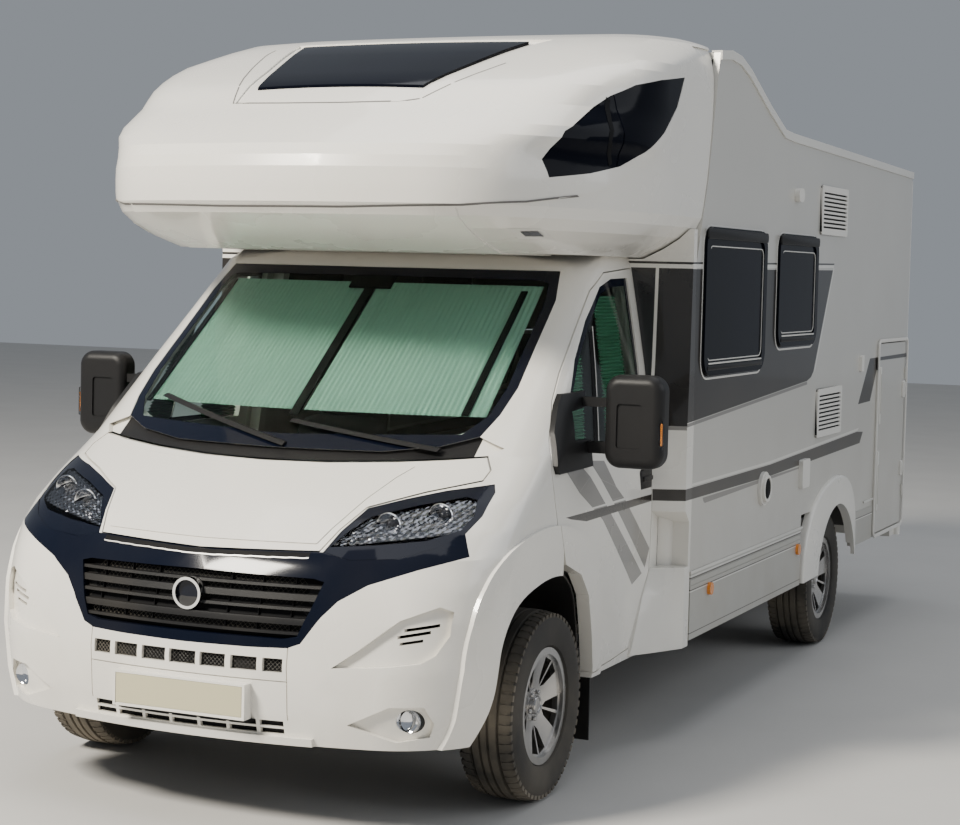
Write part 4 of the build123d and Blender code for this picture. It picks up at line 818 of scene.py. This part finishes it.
# %% Cast wheel
LIP = [(84, 206), (92, 207), (94.5, 212), (94.5, 219.5), (90, 219.5), (88, 214), (84, 206)]
CAP = [(69, 0.1), (70, 14), (68, 26), (71, 28), (71, 33), (66, 36), (58, 36)]
BOLT = [(64, 0.1), (64, 7), (62, 9), (56, 9.5)]
BRAKE_DISC = [(-8, 60), (-8, 150), (6, 150), (6, 60), (-8, 60)]

def wheel_bolt(angle):
    return turned_by(moved(turned(BOLT, 12), (0, 0, 0.052)), angle, "X")

def wheel_pieces(place, side, body):
    name = "rim_" + place
    centre = sum(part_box(name), Vector()) / 2

    def dark(middle):
        """The inner half of the barrel, within the rim's edge."""
        off = middle - centre
        return off.x * side <= 0.034 and math.hypot(off.y, off.z) <= 0.209

    keep_piece(two_tone(merged(name), dark), name + "_casting", ["alloy", "alloy_dark"], 30, [name], body)
    trim = joined([turned(LIP, 96), turned(CAP)] + [wheel_bolt(72 * k + 36) for k in range(5)])
    for bm, label, material in ((trim, "trim", "alloy"), (turned(BRAKE_DISC, 64), "brake_disc", "alloy_dark")):
        bm = moved(bm if side > 0 else mirrored(bm), centre)
        keep_piece(bm, "wheel_" + place + "_" + label, material, 40, body=body)
    return centre

for end in ("front_", "rear_"):
    for side, hand in HANDS:
        centre = wheel_pieces(end + hand, side, "wheel_" + end + hand)
        tyre_pieces("tyre_" + end + hand, "wheel_" + end + hand, centre)
        print("wheel", end + hand, [round(v, 3) for v in centre])

# %% [markdown]
# ## Windows, vents and doors of the living body
# Each window is a bulged acrylic pane in a black frame: a hinge rail along the top, a light
# bevel line round the pane, a grip rail below, and a light film line outside the frame.

# %% Window trims
WINDOWS = {"left": [(1351, 2257, 1571, 2178), (2515, 3213, 1668, 2178)],
           "right": [(1351, 2100, 1571, 2178), (3300, 3998, 1668, 2178)]}
keep_piece(merged("house_windows"), "house_window_frames", "dark_acrylic", 30, ["house_windows"])
for side, hand in HANDS:
    rails, seals, lines = [], [], []
    for y0, y1, z0, z1 in WINDOWS[hand]:
        rails += [(y0 - 12, y1 + 12, z1 - 34, z1 + 12, 16, 1160, 1169, 0, 3),
                  (y0 + 30, y1 - 30, z0 + 4, z0 + 26, 10, 1160, 1167, 0, 3)]
        seals += [(y0 - 20, y1 + 20, z0 - 20, z1 + 20, 84, 1150.2, 1155, 6, 1)]
        lines += [(y0 + 34, y1 - 34, z0 + 46, z1 - 62, 40, 1157, 1160, 5, 1),
                  (y0 + 44, y1 - 44, z0 + 31, z0 + 38, 3, 1160, 1166, 0, 1),
                  (y0 - 32, y1 + 32, z0 - 36, z1 + 28, 92, 1150.2, 1151.4, 9, 0.3)]
    side_trim("window_rails_" + hand, "black_trim", side, *rails)
    side_trim("window_seals_" + hand, "seal_black", side, *seals)
    side_trim("window_lines_" + hand, "edge_alloy", side, *lines)
print("windows dressed")

# %% Rear window frame: side plates made about the middle and turned to the back
rear_spots = [v.co * 1000 for v in merged("house_windows").verts if v.co.y > 3.2]
x_low, x_high = min(p.x for p in rear_spots) - AXLE * 1000, max(p.x for p in rear_spots) - AXLE * 1000
z_low, z_high = min(p.z for p in rear_spots), max(p.z for p in rear_spots)
y_face = max(p.y for p in rear_spots)
for name, grow, radius, y0, y1, ring, bevel, material in (
        ("rear_window_frame", 16, 60, y_face - 8, y_face + 7, 46, 3, "black_trim"),
        ("rear_window_line", -44, 24, y_face, y_face + 3, 5, 1, "edge_alloy")):
    plate = side_plate(1, x_low - grow, x_high + grow, z_low - grow, z_high + grow, radius, y0, y1, ring, bevel)
    keep_piece(turned_by(plate, 90, "Z"), name, material, 30)
print("rear window", round(z_low), round(z_high), round(y_face))

# %% Garage doors: seal, hinge strips, catches, lining and frame
for side, hand in HANDS:
    body = "garage_lid_" + hand
    side_trim("garage_seal_" + hand, "seal_black", side, (4742, 5420, 528, 1588, 30, 1150.2, 1153, 10, 1), body=body)
    trims = [(4716, 4744, low, high, 6, 1156, 1172, 0, 4) for low, high in ((1145, 1480), (640, 988))]
    for low, high in ((1270, 1374), (792, 884)):
        trims += [(5380, 5428, low, high, 12, 1153, 1166, 0, 4), (5392, 5416, low + 14, high - 14, 8, 1166, 1170, 0, 2)]
    side_trim("garage_catches_" + hand, "vent_white", side, *trims, body=body)
    side_trim("garage_lining_" + hand, "board_grey", side, (4740, 5436, 526, 1590, 30, 1115, 1120, 0, 2), body=body)
    side_trim("garage_frame_" + hand, "vent_white", side, (4692, 5482, 478, 1640, 46, 1156, 1166, 20, 3))
print("garage doors dressed")

# %% [markdown]
# The entrance door is on the right side. Its leaf has a raised frame, a small framed window, a
# handle set in a plate and, inside, a lining with a bin. All of it follows the leaf's own box.

# %% Entrance door: frame, window, handle and lining
leaf_low, leaf_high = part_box("entrance_door")
y0, y1 = (round((v - AXLE) * 1000) for v in (leaf_low.y, leaf_high.y))
z0, z1 = round(leaf_low.z * 1000), round(leaf_high.z * 1000)
face, inner, middle = round(-leaf_low.x * 1000), round(-leaf_high.x * 1000), (y0 + y1) / 2
ENTRANCE = (
    ("frame", "vent_white", [(y0 + 12, y1 - 12, z0 + 12, z1 - 12, 40, face, face + 5, 24, 2)]),
    ("window_frame", "black_trim", [(middle - 150, middle + 150, z1 - 640, z1 - 190, 50, face, face + 10, 28, 3)]),
    ("window", "dark_acrylic", [(middle - 126, middle + 126, z1 - 616, z1 - 214, 30, face, face + 5, 0, 2)]),
    ("handle", "black_trim", [(y1 - 112, y1 - 52, z0 + 690, z0 + 830, 14, face, face + 8, 0, 3),
                            (y1 - 96, y1 - 68, z0 + 706, z0 + 800, 8, face + 8, face + 20, 0, 4)]),
    ("lining", "board_grey", [(y0 + 30, y1 - 30, z0 + 30, z1 - 30, 40, inner - 5, inner, 0, 2),
                            (middle - 170, middle + 170, z0 + 200, z0 + 470, 30, inner - 18, inner - 5, 0, 4)]))
for label, material, plates in ENTRANCE:
    side_trim("entrance_" + label, material, -1, *plates, body="entrance_leaf")
print("entrance door", y0, y1, z0, z1, face, inner)

# %% [markdown]
# ## Lower body trims
# A white bead runs along the top of the metal skirts, and the filler has a ring and a dark cap.

# %% Skirt beads and filler
for side, hand in HANDS:
    beads = [(low, high, 706, 719, 0, 1151, 1158, 0, 2) for low, high in ((1264, 3105), (4460, 4706))]
    side_trim("skirt_beads_" + hand, "edge_alloy", side, *beads)
side_trim("filler_ring", "vent_white", 1, (2290, 2420, 915, 1045, 62, 1160, 1181, 15, 3))
side_trim("filler_cap", "seal_black", 1, (2307, 2403, 932, 1028, 46, 1165, 1178, 0, 2))

# %% [markdown]
# ## Seams of the pod and door handles
# A moulded pod shows the seams between its shell, its lip and the panel round the skylight. Each
# seam is a narrow ribbon that follows the surface; the ribbon under the lip is both the seam between
# shell and floor pan and painted shade under the lip's edge. The door handle is a black plate with a grip.

# %% Pod seams, courtesy lamp, window post and handles
pod_tree = tree_of("alcove", "alcove_windows")

def on_pod(view, proud):
    """A place a little off the pod's skin: (x, z) from the front, or (y, z) from the side."""
    def place(a, z):
        if view == "front":
            start, line, missed = Vector((a / 1000, -6, z / 1000)), FORWARD, at(a, 0, z)
        else:
            start, line, missed = at(3000, a, z), Vector((-1, 0, 0)), at(1100, a, z)
        spot, normal = pod_tree.ray_cast(start, line)[:2]
        return spot + normal * proud / 1000 if spot else missed
    return place

def ribbon(points, width, surface, pieces=6):
    """A narrow strip along a line of points, laid on a surface."""
    count = (len(points) - 1) * pieces
    def place(u, v):
        step = min(count - 1e-6, u * count) / pieces
        p, q = Vector(points[int(step)]), Vector(points[int(step) + 1])
        across = Vector((-(q - p).y, (q - p).x)).normalized() * width * (v - 0.5)
        return surface(*(p.lerp(q, step - int(step)) + across))
    return laid_sheet(count, 1, place)

BED_SEAM = [(-662, 2922), (-654, 2899), (-580, 2811), (-469, 2698), (-412, 2626), (-180, 2622), (89, 2621),
            (330, 2626), (412, 2640), (469, 2698), (580, 2811)]
# the lip's dark line: the seam between shell and floor pan, and painted shade under the lip's edge
LIP_SEAM_AND_SHADE = [(-880, 2238), (-753, 2214), (-229, 2206), (284, 2208), (724, 2223), (898, 2243), (1010, 2275)]
POST_LINE = [(364, 2402), (326, 2493), (348, 2572), (378, 2640), (388, 2660)]
seams = [ribbon(BED_SEAM, 5, on_pod("front", 0.8)), ribbon(LIP_SEAM_AND_SHADE, 7, on_pod("front", 2.5), 14)]
keep_piece(joined(seams), "pod_seams", "board_grey", 60)
for side, hand in HANDS:
    post = ribbon(POST_LINE, 22, on_pod("side", 1.5))
    bed = ribbon([(side * 818, 2127), (side * 906, 2129)], 36, on_pod("front", 1.5))
    lamp = ribbon([(side * 846, 2128), (side * 892, 2130)], 16, on_pod("front", 4))
    keep_piece(post if side > 0 else mirrored(post), "pod_window_post_" + hand, "seal_black", 60)
    keep_piece(bed, "pod_lamp_bed_" + hand, "vent_white", 60)
    keep_piece(lamp, "pod_lamp_" + hand, "lamp_dark", 60)
    handle = [block(side * 1000, side * 1024, 962, 1106, 1084, 1168, 9, 3),
              block(side * 1016, side * 1032, 984, 1096, 1120, 1142, 6, 3)]
    keep_piece(joined(handle), "door_handle_" + hand, "black_trim", 40, body="door_" + hand)
print("pod seams", len(BED_SEAM) + len(LIP_SEAM_AND_SHADE))

# %% [markdown]
# Behind the pod the roof steps down. An upright strip closes the step; its top edge is found by
# lines cast down at the pod. Each cab door gets a moulded inner panel that swells to an arm rest.

# %% Step strip and door linings
STEP_LOW = 2900                  # height at which the strip starts, millimetres
inside_tree = tree_of("cab_door_left")

def step_place(u, v):
    x = (u - 0.5) * 2160
    spot = pod_tree.ray_cast(at(x, 1480, 3600), Vector((0, 0, -1)))[0]
    top = spot.z * 1000 - 3 if spot else 2960
    return at(x, 1492, STEP_LOW + (top - STEP_LOW) * v)

def lining_place(u, v):
    y, z = 430 + 660 * u, 500 + 700 * v
    spot = inside_tree.ray_cast(at(300, y, z), Vector((1, 0, 0)))[0]
    rest = 34 * math.exp(-((z - 980) / 60) ** 4) * math.exp(-((y - 800) / 230) ** 4)
    return at((spot.x if spot else 0.9) * 1000 - 5 - rest, y, z)

keep_piece(laid_sheet(60, 2, step_place, 0.004), "pod_step_strip", "pod_white", 40)
for side, hand in HANDS:
    lining = laid_sheet(24, 24, lambda u, v: Vector((side, 1, 1)) * lining_place(u, v), 0.003)
    keep_piece(lining, "door_lining_" + hand, "cabin_grey", 50, body="door_" + hand)
print("step strip and door linings")

# %% [markdown]
# ## Mirror lamps
# The turn lamp wraps the outer edge of each mirror head: a clear cover over an amber insert.

# %% Mirror lamps
for side, hand in HANDS:
    for label, block_sides, material in (
            ("lamp_cover_", (1306, 1329.5, 306, 344, 1318, 1440, 6, 3), "lamp_clear"),
            ("lamp_insert_", (1312, 1326, 312, 338, 1332, 1420, 4, 2), "amber"),
            ("face_", (1120, 1300, 389, 391.5, 1290, 1560, 1, 1), "mirror_chrome")):
        x0, x1, *rest = block_sides
        keep_piece(block(side * x0, side * x1, *rest), "mirror_" + label + hand, material, 40, body="door_" + hand)
print("mirror lamps")

# %% [markdown]
# ## Seats
# A seat is three padded forms: a cushion, a back and a head rest, each crowned and drawn in at
# its edges. Subdivision gives the roundness, and the cover's channels are creases pressed in.

# %% Padded seats
def pad(name, x0, x1, y0, y1, z0, z1, lean=0.0, replaces=()):
    bm = bmesh.new()
    bmesh.ops.create_cube(bm, size=1.0)
    bmesh.ops.subdivide_edges(bm, edges=bm.edges[:], cuts=11, use_grid_fill=True)
    size = at(x1, y1, z1) - at(x0, y0, z0)
    for vert in bm.verts:
        p = vert.co * 2
        round_off = 1 - 0.10 * (abs(p.x) ** 6 + abs(p.y) ** 6 + abs(p.z) ** 6 - 1)
        crown = 1 + 0.06 * (1 - p.x * p.x) * (1 - (p.z * p.z if abs(p.y) > 0.99 else p.y * p.y))
        channel = 1 - 0.03 * math.exp(-((abs(p.x) - 0.55) / 0.05) ** 2)
        vert.co = Vector((p.x, p.y * crown * channel, p.z * crown * channel)) * size * 0.46 * round_off
        vert.co.y += lean * vert.co.z
    moved(bm, (at(x1, y1, z1) + at(x0, y0, z0)) / 2)
    bmesh.ops.smooth_vert(bm, verts=bm.verts, factor=0.5, use_axis_x=True, use_axis_y=True, use_axis_z=True)
    piece = keep_piece(bm, name, "seat_cloth", 80, replaces)
    soft = piece.modifiers.new("round", "SUBSURF")
    soft.levels = soft.render_levels = 1

seat_low, seat_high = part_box("cab_seats")
y_front, y_back = ((v - AXLE) * 1000 for v in (seat_low.y, seat_high.y))
z_floor, z_top = seat_low.z * 1000, seat_high.z * 1000
for side, hand in HANDS:
    x0, x1 = sorted((side * 190, side * 670))
    pad("seat_cushion_" + hand, x0, x1, y_front, y_back - 90, z_floor + 200, z_floor + 330, replaces=["cab_seats"])
    pad("seat_back_" + hand, x0 + 15, x1 - 15, y_back - 150, y_back, z_floor + 300, z_top - 150, lean=0.06)
    pad("seat_headrest_" + hand, x0 + 110, x1 - 110, y_back - 105, y_back - 5, z_top - 160, z_top)
    base = block(x0 + 40, x1 - 40, y_front + 60, y_back - 80, z_floor, z_floor + 205, 14, 3)
    keep_piece(base, "seat_base_" + hand, "cabin_grey")
print("seats", [round(v, 3) for v in seat_low], [round(v, 3) for v in seat_high])

# %% [markdown]
# ## Finishes on the solids that stay
# The running gear, the walls and the small lamps keep the frame's own solids and get a finish.

# %% Dress the rest of the frame
WEAR = {
    "wall_white": ["side_wall_left", "side_wall_right", "garage_door_left", "garage_door_right", "entrance_door"],
    "pod_white": ["roof"],
    "black_trim": ["mudflaps"],
    "underbody": ["chassis_frame", "engine", "radiator", "rear_axle", "knuckle_left", "knuckle_right",
                  "underfloor_tanks"],
    "cabin_grey": ["dashboard"],
    "skirt_alloy": ["skirts"],
    "edge_alloy": ["roof_edges"],
    "vent_white": ["side_fittings", "roof_hatches"],
    "amber": ["marker_lamps"],
    "red_lens": ["tail_lamps"],
    "bare_plate": ["rear_plate"],
    "board_grey": ["house_floor"],
}
for material, names in WEAR.items():
    for name in names:
        slots = nodes[name].data.materials
        slots.clear()
        slots.append(FINISHES[material])
print("dressed", sum(len(names) for names in WEAR.values()))
